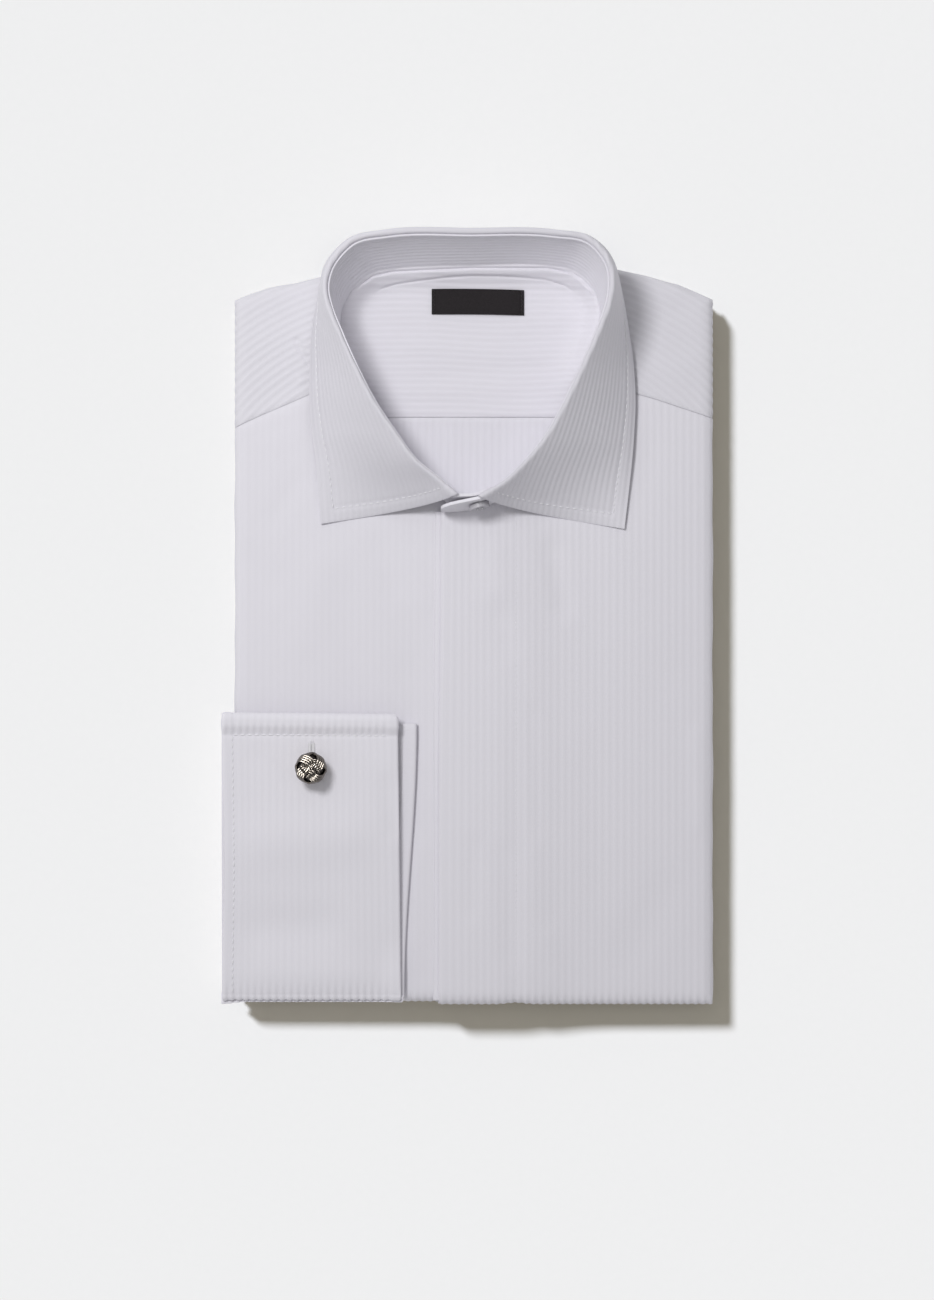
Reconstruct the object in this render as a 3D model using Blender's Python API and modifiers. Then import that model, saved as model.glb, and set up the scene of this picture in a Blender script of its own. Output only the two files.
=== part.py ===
"""A double-cuffed dress shirt, folded flat on its back: the sewn pieces as solids.

Units are metres in Blender. The sizes below are in millimetres and MM turns them into metres.
+Z is up, +Y points to the collar, and the shirt's underside rests flat on z = 0.
"""
import math

import bmesh
import bpy
import numpy as np
from mathutils import Matrix, Vector

MM = 0.001

# Folded outline, seen from above.
LEFT_SIDE = -107.2  # x of the left fold
RIGHT_SIDE = 113.5  # x of the right fold
HEM_UNDER = -176.1  # y of the bottom fold of the front underneath
HEM_OVER = -177.4  # y of the bottom fold of the front on top
# The shoulder fold, from the left corner to the right one.
SHOULDER_LINE = (
    # x, y
    (-107.2, 147.3),
    (-100.5, 150.0),
    (-92.0, 153.1),
    (-80.2, 155.2),
    (-66.0, 158.4),
    (-52.0, 162.6),
    (-30.0, 164.6),
    (2.0, 165.4),
    (36.0, 165.2),
    (54.0, 163.8),
    (69.3, 161.6),
    (84.8, 158.1),
    (97.3, 154.7),
    (105.1, 151.3),
    (113.5, 147.8),
)
# The seams where the yoke meets each front.
YOKE_SEAM_LEFT = ((-107.2, 88.4), (-94.6, 94.1), (-83.4, 98.8), (-71.8, 103.9), (-51.0, 112.2))
YOKE_SEAM_RIGHT = ((52.0, 113.4), (78.9, 103.6), (86.9, 101.4), (97.1, 98.0), (113.5, 92.6))
YOKE_GAP = 0.5  # along y, because these seams run at a slant
YOKE_NECK = (-60.0, 62.5)  # x of the columns that run down beside the neck
YOKE_TURN = 7.0  # room that the shoulder fold takes where nothing is in its way
BACK_SEAM = 93.2  # y of the seam between the back and the inner yoke
BACK_SEAM_ENDS = (-40.5, 42.0)  # the part of it that the fronts leave open
BACK_PANEL = (-98.0, 104.0, -166.0)  # left side, right side and bottom of the back

# Cloth and how it is stacked.
CLOTH = 1.0  # wall of the body cloth
SEAM_GAP = 0.3
LAYER = CLOTH + 0.4  # one more layer of cloth, with the air under it
STACK_EDGE = 11.5  # height of the folded layers near the sides
STACK_RISE = 3.0  # how much higher they are in the middle
STACK_MIDDLE = (3.0, -8.0)  # where they are highest
STACK_REACH = (113.0, 175.0)  # how far the rise runs in x and y
STACK_CORNER = 3.0  # where the sides of the pile stop short of its corners
# The folded edges of the pile, from the table up: three folds, pinched between them.
STACK_SIDE = (
    # z, inset
    (0.0, 2.2),
    (0.35, 0.9),
    (1.7, 0.0),
    (2.9, 0.5),
    (3.3, 1.5),
    (3.7, 0.5),
    (5.0, 0.0),
    (6.1, 0.5),
    (6.4, 1.9),
    (8.6, 2.2),
)
WRAP_LOW = 7.0  # how low the fronts turn round the sides
# The rolled side of a folded cloth: how far in it lies, and how high between its foot and its top.
ROLLED_EDGE = (
    # inset, rise
    (0.0, 0.0),
    (0.15, 0.32),
    (0.6, 0.60),
    (1.6, 0.82),
    (3.4, 0.95),
    (6.0, 1.0),
)

# The front opening.
PLACKET_EDGE = -12.4  # x of the folded edge of the front on top
PLACKET_WIDTH = 35.0
UNDERLAP_END = 20.0  # x where the front underneath ends
FLY_STRIP = (-13.3, 19.1, -172.1, 49.6)  # the strip between the fronts: low x, high x, low y, high y
STEP = 5.0  # width over which the cloth comes down from a layer's edge

# Rise of the fronts and the yoke up to the neck seam.
NECK_MOUND_SIDE = 5.0
NECK_MOUND_FRONT = 1.0
NECK_MOUND_REACH = 14.0
NECK_CURL_REACH = 6.0  # how near the neck seam the inner yoke curls up
NECK_FOLD = (4.3, 1.3, 1.2)  # the fold beside the back neck seam: distance, half width, height

# The collar, one row for each section: the crest of its roll, the foot of the stand,
# the outer edge of the leaf, and how round the leaf is, in degrees.
COLLAR_WALL = 1.0
ROLL_RADIUS = 0.9
STAND_SEAM_DROP = 1.3  # how far under the crest the stand meets the leaf
STAND_CLEARANCE = 1.0  # between the foot of the stand and the cloth it is sewn to
STAND_BOW = 0.8  # how far the stand bellies outwards
UNDER_TAB = (
    # crest x, y, z, foot x, y
    (13.6, 63.2, 41.0, 15.1, 59.9),
    (4.1, 58.6, 42.0, 5.0, 55.3),
)
COLLAR_SECTIONS = (
    # crest x, y, z, foot x, y, edge x, y, z, roundness
    (-5.2, 57.2, 43.0, -7.8, 53.9, -67.1, 43.9, 17.0, 10.0),
    (-13.4, 63.5, 44.0, -16.5, 60.4, -68.0, 56.8, 17.0, 12.0),
    (-23.5, 71.6, 46.0, -26.6, 69.1, -68.9, 71.0, 17.5, 13.0),
    (-33.2, 84.4, 48.5, -36.3, 83.8, -70.7, 85.7, 17.8, 14.0),
    (-42.7, 98.3, 50.5, -45.0, 98.9, -71.7, 100.8, 18.0, 14.0),
    (-51.0, 114.2, 52.0, -52.6, 115.9, -71.4, 118.2, 18.5, 13.0),
    (-58.0, 129.9, 53.0, -58.3, 131.5, -70.4, 132.9, 19.5, 12.0),
    (-62.6, 141.4, 53.0, -58.3, 141.6, -68.2, 144.7, 20.5, 11.0),
    (-65.0, 150.7, 52.5, -56.0, 147.1, -67.7, 154.3, 21.0, 10.0),
    (-63.9, 159.1, 52.0, -53.3, 151.3, -66.6, 162.1, 19.0, 9.0),
    (-59.6, 165.7, 51.5, -49.1, 155.2, -61.6, 168.7, 16.0, 8.0),
    (-51.9, 171.4, 51.0, -43.6, 159.1, -53.0, 172.4, 12.5, 8.0),
    (-37.0, 174.7, 50.3, -34.4, 161.1, -37.8, 173.4, 10.0, 6.0),
    (1.8, 175.5, 50.0, 1.8, 162.8, 1.8, 173.8, 9.0, 5.0),
    (40.2, 174.7, 50.3, 37.6, 162.7, 41.0, 173.4, 10.0, 6.0),
    (55.1, 171.9, 51.0, 48.7, 160.4, 56.4, 172.6, 13.5, 8.0),
    (61.4, 166.6, 51.5, 54.2, 156.8, 63.8, 169.0, 18.0, 9.0),
    (65.2, 160.0, 52.0, 57.8, 152.6, 67.8, 162.2, 23.0, 10.0),
    (65.8, 151.6, 52.5, 60.1, 148.5, 69.9, 153.8, 27.0, 11.0),
    (64.4, 143.0, 53.0, 61.5, 142.5, 71.8, 144.7, 26.5, 11.0),
    (60.2, 131.3, 53.0, 60.4, 132.4, 74.4, 133.4, 24.0, 12.0),
    (53.3, 115.1, 52.0, 54.6, 116.8, 77.2, 119.1, 20.0, 13.0),
    (45.6, 98.9, 50.5, 47.7, 99.4, 78.1, 100.8, 18.0, 14.0),
    (37.1, 83.2, 48.5, 39.9, 82.9, 76.7, 84.3, 17.8, 14.0),
    (25.6, 69.3, 46.0, 28.5, 67.7, 75.1, 68.7, 17.5, 13.0),
    (18.4, 62.2, 44.0, 21.1, 59.5, 73.8, 54.9, 17.0, 12.0),
    (10.4, 56.7, 43.0, 12.4, 53.5, 72.4, 41.6, 17.0, 10.0),
)
OVER_TAB = (
    # crest x, y, z, foot x, y
    (1.4, 54.3, 42.0, 1.8, 51.2),
    (-11.6, 52.5, 41.0, -11.5, 50.0),
)

# The double cuff: a band that lies flat as a loop, turned back on itself.
CUFF_PLY = 1.0
CUFF_PLY_GAP = 0.5  # between the turned-back ply and the one under it
CUFF_HOLLOW = 0.8  # between the two inner plies
CUFF_FREE_EDGE = -113.0
CUFF_LOW_FREE_EDGE = -104.5  # free edge of the lower, hidden half
CUFF_SEAM = -107.5  # where the inner plies meet the sleeve
CUFF_TOP = -43.8  # y of the upper half's open edge
CUFF_LOW_TOP = -47.8  # y of the lower half's open edge
CUFF_LOOP = -175.2  # y of the looped end
CUFF_FOLD = (-30.2, -31.6)  # x of the fold at the wrist, at the loop and at the open edge
CUFF_PEEK = (1.5, 8.5)  # how far the lower half shows beyond it, at the same places
CUFF_LIFT = (0.2, 2.9)  # how far the cuff is held up: at its loop, and over the cufflink's bar
SLEEVE_WALL = 1.6
SLEEVE_ENDS = (-171.0, -41.4)  # y of the sleeve's two long folds
LINK = (-71.2, -67.9)  # x and y of the cufflink
BUTTONHOLE = (3.0, 16.0, 5.0)  # width, length, and how far it runs below the cufflink
KNOT_RADIUS = 7.3
KNOT_RELIEF = 1.5  # how deep it dips between the wire bundles
KNOT_TURNS = 3
KNOT_BIGHTS = 4
KNOT_SWING = 1.0  # how far the bundles swing to the poles, in radians
KNOT_BUNDLE = 0.62  # half width of a bundle, in radians
POST_RADIUS = 1.0
BAR = (14.0, 0.95)  # length and radius

LABEL = (42.5, 11.7)  # width and height
LABEL_CENTRE = (5.0, 146.0)
LABEL_WALL = 1.0
LABEL_GAP = 0.45
BUTTON = (9.5, 2.2)  # diameter and thickness
BUTTON_X = 4.6
BUTTON_SHANK = 0.6  # from the tab to the button
BUTTON_HOLES = (4, 1.5, 0.65)  # how many, how far out, and their radius
BUTTON_RIM = 0.35


def smooth(x, low, high):
    """0 at low, 1 at high, with soft ends."""
    t = min(max((x - low) / (high - low), 0.0), 1.0)
    return t * t * (3.0 - 2.0 * t)


def read_line(points, x):
    """y of a line given by its corners."""
    return float(np.interp(x, [p[0] for p in points], [p[1] for p in points]))


def smooth_rows(rows, pieces):
    """Rows on a smooth curve through the given rows, that many to a span."""
    rows = np.array(rows, float)
    place = np.concatenate([[0.0], np.cumsum(np.linalg.norm(np.diff(rows[:, :3], axis=0), axis=1))])
    slope = np.gradient(rows, place, axis=0)
    out = []
    for i in range(len(rows) - 1):
        span = place[i + 1] - place[i]
        for t in np.arange(pieces) / pieces:
            a = 2 * t**3 - 3 * t**2 + 1
            b = (t**3 - 2 * t**2 + t) * span
            c = (t**3 - t**2) * span
            out.append(a * rows[i] + (1 - a) * rows[i + 1] + b * slope[i] + c * slope[i + 1])
    out.append(rows[-1])
    return np.array(out)


def spread(low, high, count):
    """Evenly spaced values, one more than count."""
    return [low + (high - low) * i / count for i in range(count + 1)]


# ---------------------------------------------------------------- heights of the pile

NECK_UNDER = [(r[3], r[4]) for r in UNDER_TAB] + [(r[3], r[4]) for r in COLLAR_SECTIONS[:14]]
NECK_OVER = [(r[3], r[4]) for r in COLLAR_SECTIONS[13:]] + [(r[3], r[4]) for r in OVER_TAB]
NECK_LINE = np.array(NECK_UNDER + NECK_OVER[1:])
NECK_LEFT_SIDE = NECK_UNDER[6:12]  # where the yoke meets it, from the front seam up
NECK_RIGHT_SIDE = NECK_OVER[8:3:-1]
NECK_BACK = NECK_LINE[9:22]  # behind the shoulders, from left to right


def neck_distance(x, y):
    """Distance from the neck seam, seen from above."""
    start = NECK_LINE[:-1]
    run = NECK_LINE[1:] - start
    to = np.array([x, y]) - start
    share = np.clip((to * run).sum(1) / (run * run).sum(1), 0.0, 1.0)
    return float(np.linalg.norm(to - run * share[:, None], axis=1).min())


def stack_top(x, y):
    """Top of the layers folded behind."""
    u = (x - STACK_MIDDLE[0]) / STACK_REACH[0]
    v = (y - STACK_MIDDLE[1]) / STACK_REACH[1]
    return STACK_EDGE + STACK_RISE * max(0.0, 1 - u * u) * max(0.0, 1 - v * v)


def neck_mound(x, y):
    """How much the cloth rises to the neck seam."""
    height = NECK_MOUND_FRONT + (NECK_MOUND_SIDE - NECK_MOUND_FRONT) * smooth(y, 55.0, 100.0)
    return height * math.exp(-((neck_distance(x, y) / NECK_MOUND_REACH) ** 2))


def under_top(x, y):
    """Outer face of the front underneath, and of the yoke."""
    return stack_top(x, y) + 2 * LAYER + neck_mound(x, y)


def over_top(x, y):
    """Outer face of the front on top: one layer up over the underlap, two over the button strip."""
    over_underlap = 1.0 - smooth(x, UNDERLAP_END + 1.0, UNDERLAP_END + 1.0 + STEP)
    over_strip = 1.0 - smooth(x, PLACKET_EDGE + PLACKET_WIDTH - 1.0, PLACKET_EDGE + PLACKET_WIDTH - 1.0 + STEP)
    return under_top(x, y) + LAYER * (over_underlap + over_strip)


# ---------------------------------------------------------------- Blender helpers


def clear_scene():
    """Removes the objects that the file starts with."""
    for thing in list(bpy.data.objects):
        bpy.data.objects.remove(thing, do_unlink=True)


def new_collection(name, visible=True):
    """A collection in the scene; one for helpers is left out of renders."""
    collection = bpy.data.collections.new(name)
    bpy.context.scene.collection.children.link(collection)
    collection.hide_render = not visible
    return collection


def new_material(name, colour, roughness, metallic=0.0):
    """A Principled BSDF material."""
    material = bpy.data.materials.new(name)
    material.use_nodes = True
    shader = material.node_tree.nodes["Principled BSDF"]
    shader.inputs["Base Color"].default_value = (*colour, 1.0)
    shader.inputs["Roughness"].default_value = roughness
    shader.inputs["Metallic"].default_value = metallic
    return material


def add_object(name, bm, collection, material):
    """The mesh as an object, in metres, shaded smooth."""
    bmesh.ops.scale(bm, vec=(MM, MM, MM), verts=bm.verts)
    mesh = bpy.data.meshes.new(name)
    bm.to_mesh(mesh)
    bm.free()
    mesh.shade_smooth()
    mesh.materials.append(material)
    thing = bpy.data.objects.new(name, mesh)
    collection.objects.link(thing)
    return thing


def cut(thing, helper, operation):
    """Cuts or joins the helper's shape."""
    boolean = thing.modifiers.new(operation.lower(), "BOOLEAN")
    boolean.operation = operation
    boolean.object = helper
    boolean.solver = "EXACT"
    helper.display_type = "WIRE"
    helper.hide_render = True


def sheet(name, collection, material, columns, rows, place, wall, offset=-1.0, missing=()):
    """A cloth wall: a grid whose points place(i, j) lays, with its thickness inwards.

    missing holds the (column, row) of each cell that is left open.
    """
    bm = bmesh.new()
    bmesh.ops.create_grid(bm, x_segments=columns, y_segments=rows, size=0.5)
    holes = [
        face
        for face in bm.faces
        if (
            math.floor((face.calc_center_median().x + 0.5) * columns),
            math.floor((face.calc_center_median().y + 0.5) * rows),
        )
        in missing
    ]
    bmesh.ops.delete(bm, geom=holes, context="FACES")
    for vert in bm.verts:
        i = round((vert.co.x + 0.5) * columns)
        j = round((vert.co.y + 0.5) * rows)
        vert.co = place(i, j)
    thing = add_object(name, bm, collection, material)
    solid = thing.modifiers.new("wall", "SOLIDIFY")
    solid.thickness = wall * MM
    solid.offset = offset
    solid.use_even_offset = True
    solid.use_quality_normals = True
    return thing


# ---------------------------------------------------------------- body


def make_folded_layers(collection, material):
    """Rings up the layered side, then rings in over the crowned top."""
    xs = spread(LEFT_SIDE + STACK_CORNER, RIGHT_SIDE - STACK_CORNER, 14)
    ys = spread(HEM_UNDER + STACK_CORNER, SHOULDER_LINE[0][1] - STACK_CORNER, 18)
    bottom = [(x, HEM_UNDER + 0.6) for x in xs]
    right = [(RIGHT_SIDE, y) for y in ys]
    top = [(x, read_line(SHOULDER_LINE, x) - 0.6) for x in reversed(xs)]
    left = [(LEFT_SIDE, y) for y in reversed(ys)]
    outline = np.array(bottom + right + top + left)
    middle = np.array(STACK_MIDDLE)
    half = np.abs(outline - middle).max(axis=0)
    bm = bmesh.new()
    rings = []
    for z, inset in STACK_SIDE:
        ring = middle + (outline - middle) * (1 - inset / half)
        rings.append([bm.verts.new((x, y, z)) for x, y in ring])
    for share, sunk in ((0.965, 1.5), (0.8, 0.0), (0.5, 0.0), (0.2, 0.0)):
        ring = middle + (outline - middle) * share
        rings.append([bm.verts.new((x, y, stack_top(x, y) - sunk)) for x, y in ring])
    count = len(outline)
    for low, high in zip(rings, rings[1:]):
        for k in range(count):
            bm.faces.new((low[k], low[(k + 1) % count], high[(k + 1) % count], high[k]))
    bm.faces.new(rings[-1])
    bm.faces.new(reversed(rings[0]))
    return add_object("folded_layers", bm, collection, material)


def make_back_panel(collection, material):
    """The back, laid on the pile under the fronts."""
    left, right, low = BACK_PANEL
    columns, rows = 10, 12
    xs = spread(left, right, columns)
    ys = spread(low, BACK_SEAM - SEAM_GAP, rows)

    def place(i, j):
        return xs[i], ys[j], stack_top(xs[i], ys[j]) + LAYER

    return sheet("back_panel", collection, material, columns, rows, place, CLOTH)


def front_columns_right():
    """Columns of the front underneath: its rolled left side, then across to the underlap."""
    wrap = [(LEFT_SIDE + inset, rise) for inset, rise in ROLLED_EDGE]
    flat = spread(-101.2, -56.0, 4)[1:] + spread(-56.0, -8.0, 9)[1:] + spread(-8.0, UNDERLAP_END, 4)[1:]
    return wrap + [(x, 1.0) for x in flat]


def front_columns_left():
    """Columns of the front on top, from its folded edge to its rolled right side."""
    flat = [PLACKET_EDGE, -11.6] + spread(-10.0, 14.0, 5) + spread(14.0, 30.0, 6)[1:]
    flat += spread(30.0, 56.0, 4)[1:] + spread(56.0, 107.5, 5)[1:-1]
    wrap = [(RIGHT_SIDE - inset, rise) for inset, rise in reversed(ROLLED_EDGE)]
    return [(x, 1.0) for x in flat] + wrap


def front_place(columns, hem, top_line, height, rows):
    """place() of a front: rows run from the rolled hem up to its top line."""

    def place(i, j):
        x, rise_x = columns[i]
        top = top_line(x)
        if j < len(ROLLED_EDGE):
            inset, rise_y = ROLLED_EDGE[j]
            y = hem + inset
        else:
            rise_y = 1.0
            low = hem + ROLLED_EDGE[-1][0]
            share = (j - len(ROLLED_EDGE) + 1) / (rows - len(ROLLED_EDGE) + 1)
            y = low + (top - low) * share
        return x, y, WRAP_LOW + (height(x, y) - WRAP_LOW) * min(rise_x, rise_y)

    return place


def right_top_line(x):
    """Top of the front underneath: the yoke seam, then the neck seam."""
    if x < YOKE_SEAM_LEFT[-1][0]:
        return read_line(YOKE_SEAM_LEFT, x) - YOKE_GAP
    neck = [(p[0], p[1] + 0.7) for p in reversed(NECK_UNDER[:9])]
    return min(read_line(neck, x), YOKE_SEAM_LEFT[-1][1] - YOKE_GAP)


def left_top_line(x):
    """Top of the front on top: the neck seam, then the yoke seam."""
    if x > YOKE_SEAM_RIGHT[0][0]:
        return read_line(YOKE_SEAM_RIGHT, x) - YOKE_GAP
    neck = [(p[0], p[1] + 0.7) for p in reversed(NECK_OVER[7:])]
    return min(read_line(neck, x), YOKE_SEAM_RIGHT[0][1] - YOKE_GAP)


def make_fronts(collection, material):
    """The front underneath, then the front on top."""
    columns = front_columns_right()
    rows = 20
    place = front_place(columns, HEM_UNDER, right_top_line, under_top, rows)
    sheet("front_right", collection, material, len(columns) - 1, rows, place, CLOTH)
    columns = front_columns_left()
    place = front_place(columns, HEM_OVER, left_top_line, over_top, rows)
    sheet("front_left", collection, material, len(columns) - 1, rows, place, CLOTH)


def make_fly_placket(collection, material):
    """The strip that hides the buttons, between the two fronts."""
    columns, rows = 4, 18
    xs = spread(FLY_STRIP[0], FLY_STRIP[1], columns)
    ys = spread(FLY_STRIP[2], FLY_STRIP[3], rows)

    def place(i, j):
        return xs[i], ys[j], under_top(xs[i], ys[j]) + LAYER

    return sheet("fly_placket", collection, material, columns, rows, place, CLOTH)


def neck_side(y, points):
    """x of the neck seam beside the yoke."""
    return float(np.interp(y, [p[1] for p in points], [p[0] for p in points]))


def make_yoke_outer(collection, material):
    """The shoulder fold with both fronts' yokes, and a notch for the neck between them."""
    neck_left, neck_right = YOKE_NECK
    wrap_left = [(LEFT_SIDE + inset, rise) for inset, rise in ROLLED_EDGE]
    wrap_right = [(RIGHT_SIDE - inset, rise) for inset, rise in reversed(ROLLED_EDGE)]
    columns = wrap_left + [(x, 1.0) for x in spread(-101.2, neck_left, 5)[1:]]
    last_left = len(columns) - 1
    columns += [(x, 1.0) for x in spread(neck_left, neck_right, 14)[1:]]
    first_right = len(columns) - 1
    columns += [(x, 1.0) for x in spread(neck_right, 107.5, 5)[1:-1]] + wrap_right
    wraps = len(ROLLED_EDGE)
    neck_rows = 2
    seam_rows = 6
    rows = wraps + neck_rows + seam_rows - 1
    left_side = [(x - 0.5, y) for x, y in NECK_LEFT_SIDE]
    right_side = [(x + 0.5, y) for x, y in NECK_RIGHT_SIDE]
    back_line = [(x, y + 0.4) for x, y in NECK_BACK]

    def beside_neck(x, start, share):
        """A point that share of the way down to the front seam, with the columns led round the neck."""
        if x <= neck_left:
            seam_line, side, neck, far = YOKE_SEAM_LEFT, left_side, neck_left, -101.2
        else:
            seam_line, side, neck, far = YOKE_SEAM_RIGHT, right_side, neck_right, 107.5
        led = x
        for _ in range(4):
            y = start + (read_line(seam_line, led) - start) * share
            pull = smooth(abs(x - far), 0.0, abs(neck - far))
            led = x + (neck_side(y, side) - neck) * pull * (0.0 if abs(x) > abs(far) else 1.0)
        return led, y

    def place(i, j):
        x, rise_x = columns[i]
        fold = read_line(SHOULDER_LINE, x)
        in_notch = last_left < i < first_right
        if j < wraps:
            inset, rise_y = ROLLED_EDGE[j]
            if last_left <= i <= first_right:
                # Behind the neck the cloth turns up to the seam in less room.
                inset = inset * min(1.0, (fold - read_line(back_line, x)) / YOKE_TURN)
            y = fold - inset
        else:
            rise_y = 1.0
            start = fold - ROLLED_EDGE[-1][0]
            neck_row = fold - 14.0
            if in_notch:
                start = fold - ROLLED_EDGE[-1][0] * min(1.0, (fold - read_line(back_line, x)) / YOKE_TURN)
                neck_row = read_line(back_line, x)
            if j < wraps + neck_rows:
                y = start + (neck_row - start) * (j - wraps + 1) / neck_rows
            else:
                x, y = beside_neck(x, neck_row, (j - wraps - neck_rows + 1) / seam_rows)
        return x, y, WRAP_LOW + (under_top(x, y) - WRAP_LOW) * min(rise_x, rise_y)

    notch = {(i, j) for i in range(last_left, first_right) for j in range(wraps + neck_rows - 1, rows)}
    return sheet("yoke_outer", collection, material, len(columns) - 1, rows, place, CLOTH, 1.0, notch)


def yoke_inner_top(x, y):
    """Outer face of the inner yoke: up to the neck seam, with a small fold along the back of the neck."""
    near = math.exp(-((neck_distance(x, y) / NECK_CURL_REACH) ** 2)) * smooth(y, 100.0, 125.0)
    fold = math.exp(-(((neck_distance(x, y) - NECK_FOLD[0]) / NECK_FOLD[1]) ** 2)) * smooth(y, 150.0, 157.0)
    return stack_top(x, y) + LAYER + (LAYER + NECK_MOUND_SIDE) * near + NECK_FOLD[2] * fold


def make_yoke_inner(collection, material):
    """The inside of the yoke: lines that fan from the back seam to the neck seam."""
    columns = 24
    reach = (0.0, 0.16, 0.38, 0.58, 0.74, 0.85, 0.905, 0.935, 0.965, 1.0)
    arch = NECK_LINE[(NECK_LINE[:, 1] > BACK_SEAM + 4.0)]
    run = np.concatenate([[0.0], np.cumsum(np.linalg.norm(np.diff(arch, axis=0), axis=1))])

    def place(i, j):
        share = i / columns
        low = np.array([BACK_SEAM_ENDS[0] + (BACK_SEAM_ENDS[1] - BACK_SEAM_ENDS[0]) * share, BACK_SEAM])
        high = np.array([np.interp(share * run[-1], run, arch[:, k]) for k in (0, 1)])
        fan = high - low
        x, y = low + fan * reach[j] * (1.0 - 1.0 / np.linalg.norm(fan))
        return x, y, yoke_inner_top(x, y)

    return sheet("yoke_inner", collection, material, columns, len(reach) - 1, place, CLOTH)


def make_label(collection, material):
    """The woven label, laid on the inner yoke's own surface."""
    width, height = LABEL
    xs = spread(LABEL_CENTRE[0] - width / 2, LABEL_CENTRE[0] + width / 2, 8)
    ys = spread(LABEL_CENTRE[1] - height / 2, LABEL_CENTRE[1] + height / 2, 3)

    def place(i, j):
        return xs[i], ys[j], yoke_inner_top(xs[i], ys[j]) + LABEL_GAP + LABEL_WALL

    return sheet("label", collection, material, 8, 3, place, LABEL_WALL)


# ---------------------------------------------------------------- collar


def foot_of(row, under):
    """Foot of the stand, set on the cloth under it."""
    top = under_top(row[3], row[4]) if under else over_top(row[3], row[4])
    return Vector((row[3], row[4], top + STAND_CLEARANCE))


def leaf_aim(row):
    """Level direction from the foot of the stand to the leaf's edge."""
    return Vector((row[5] - row[3], row[6] - row[4], 0.0)).normalized()


def make_collar_stand(collection, material):
    """The band from its end underneath, round the neck, to the rounded tab on top."""
    sections = smooth_rows(COLLAR_SECTIONS, 2)
    middle = len(sections) // 2
    under_end = smooth_rows(UNDER_TAB + (COLLAR_SECTIONS[0][:5],), 2)[:-1]
    over_end = smooth_rows((COLLAR_SECTIONS[-1][:5],) + OVER_TAB, 4)[1:]
    lines = []
    for row in under_end:
        lines.append((Vector(row[:3]), foot_of(row, True), Vector()))
    for k, row in enumerate(sections):
        aim = leaf_aim(row)
        lines.append((Vector(row[:3]) - aim * ROLL_RADIUS, foot_of(row, k < middle), aim))
    for row in over_end:
        lines.append((Vector(row[:3]), foot_of(row, False), Vector()))
    # How much the rounded ends come down from the top and up from the foot.
    rounding = {0: 0.3, 1: 0.06, len(lines) - 2: 0.08, len(lines) - 1: 0.34}
    steps = 4

    def place(i, j):
        top, foot, aim = lines[i]
        down = (foot - top).normalized()
        top = top + down * (STAND_SEAM_DROP + 0.4)
        cut = rounding.get(i, 0.0)
        low = foot + (top - foot) * cut * 0.4
        high = top + (foot - top) * cut
        share = j / steps
        return low + (high - low) * share + aim * STAND_BOW * math.sin(math.pi * share)

    return sheet("collar_stand", collection, material, len(lines) - 1, steps, place, COLLAR_WALL, 0.0)


def leaf_section(row, under):
    """Points of one section of the leaf, from the stand seam over the roll to its edge."""
    aim = leaf_aim(row)
    up = Vector((0.0, 0.0, 1.0))
    crest = Vector(row[:3])
    edge = Vector(row[5:8])
    if edge.y < read_line(SHOULDER_LINE, edge.x):
        body = under_top(edge.x, edge.y) if under else over_top(edge.x, edge.y)
        edge.z = max(edge.z, body + SEAM_GAP + COLLAR_WALL / 2 + 0.1)
    centre = crest - up * ROLL_RADIUS
    inner = centre - aim * ROLL_RADIUS
    points = [inner + (foot_of(row, under) - inner).normalized() * (STAND_SEAM_DROP - ROLL_RADIUS)]
    # Over the roll, until it points down the leaf.
    roundness = math.radians(row[8])
    start = math.atan2(crest.z - edge.z, (edge - crest).dot(aim)) - roundness
    turn = math.pi / 2 + start
    for k in range(5):
        angle = math.pi - turn * k / 4
        points.append(centre + (aim * math.cos(angle) + up * math.sin(angle)) * ROLL_RADIUS)
    # Down the leaf, on a curve that leaves the roll smoothly.
    leave = points[-1]
    chord = edge - leave
    reach = chord.length / (2 * math.cos(roundness))
    sideways = Vector((chord.x, chord.y, 0.0)) - aim * chord.dot(aim)
    middle = leave + (aim * math.cos(start) - up * math.sin(start)) * reach + sideways / 2
    for k in range(1, 8):
        t = k / 7
        points.append(leave * (1 - t) ** 2 + middle * 2 * t * (1 - t) + edge * t * t)
    return points


def make_collar_leaf(collection, material):
    """The turned-down collar, section by section round the neck."""
    rows = smooth_rows(COLLAR_SECTIONS, 2)
    sections = [leaf_section(row, k < len(rows) // 2) for k, row in enumerate(rows)]

    def place(i, j):
        return sections[i][j]

    count = len(sections[0]) - 1
    return sheet("collar_leaf", collection, material, len(sections) - 1, count, place, COLLAR_WALL, 0.0)


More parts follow.
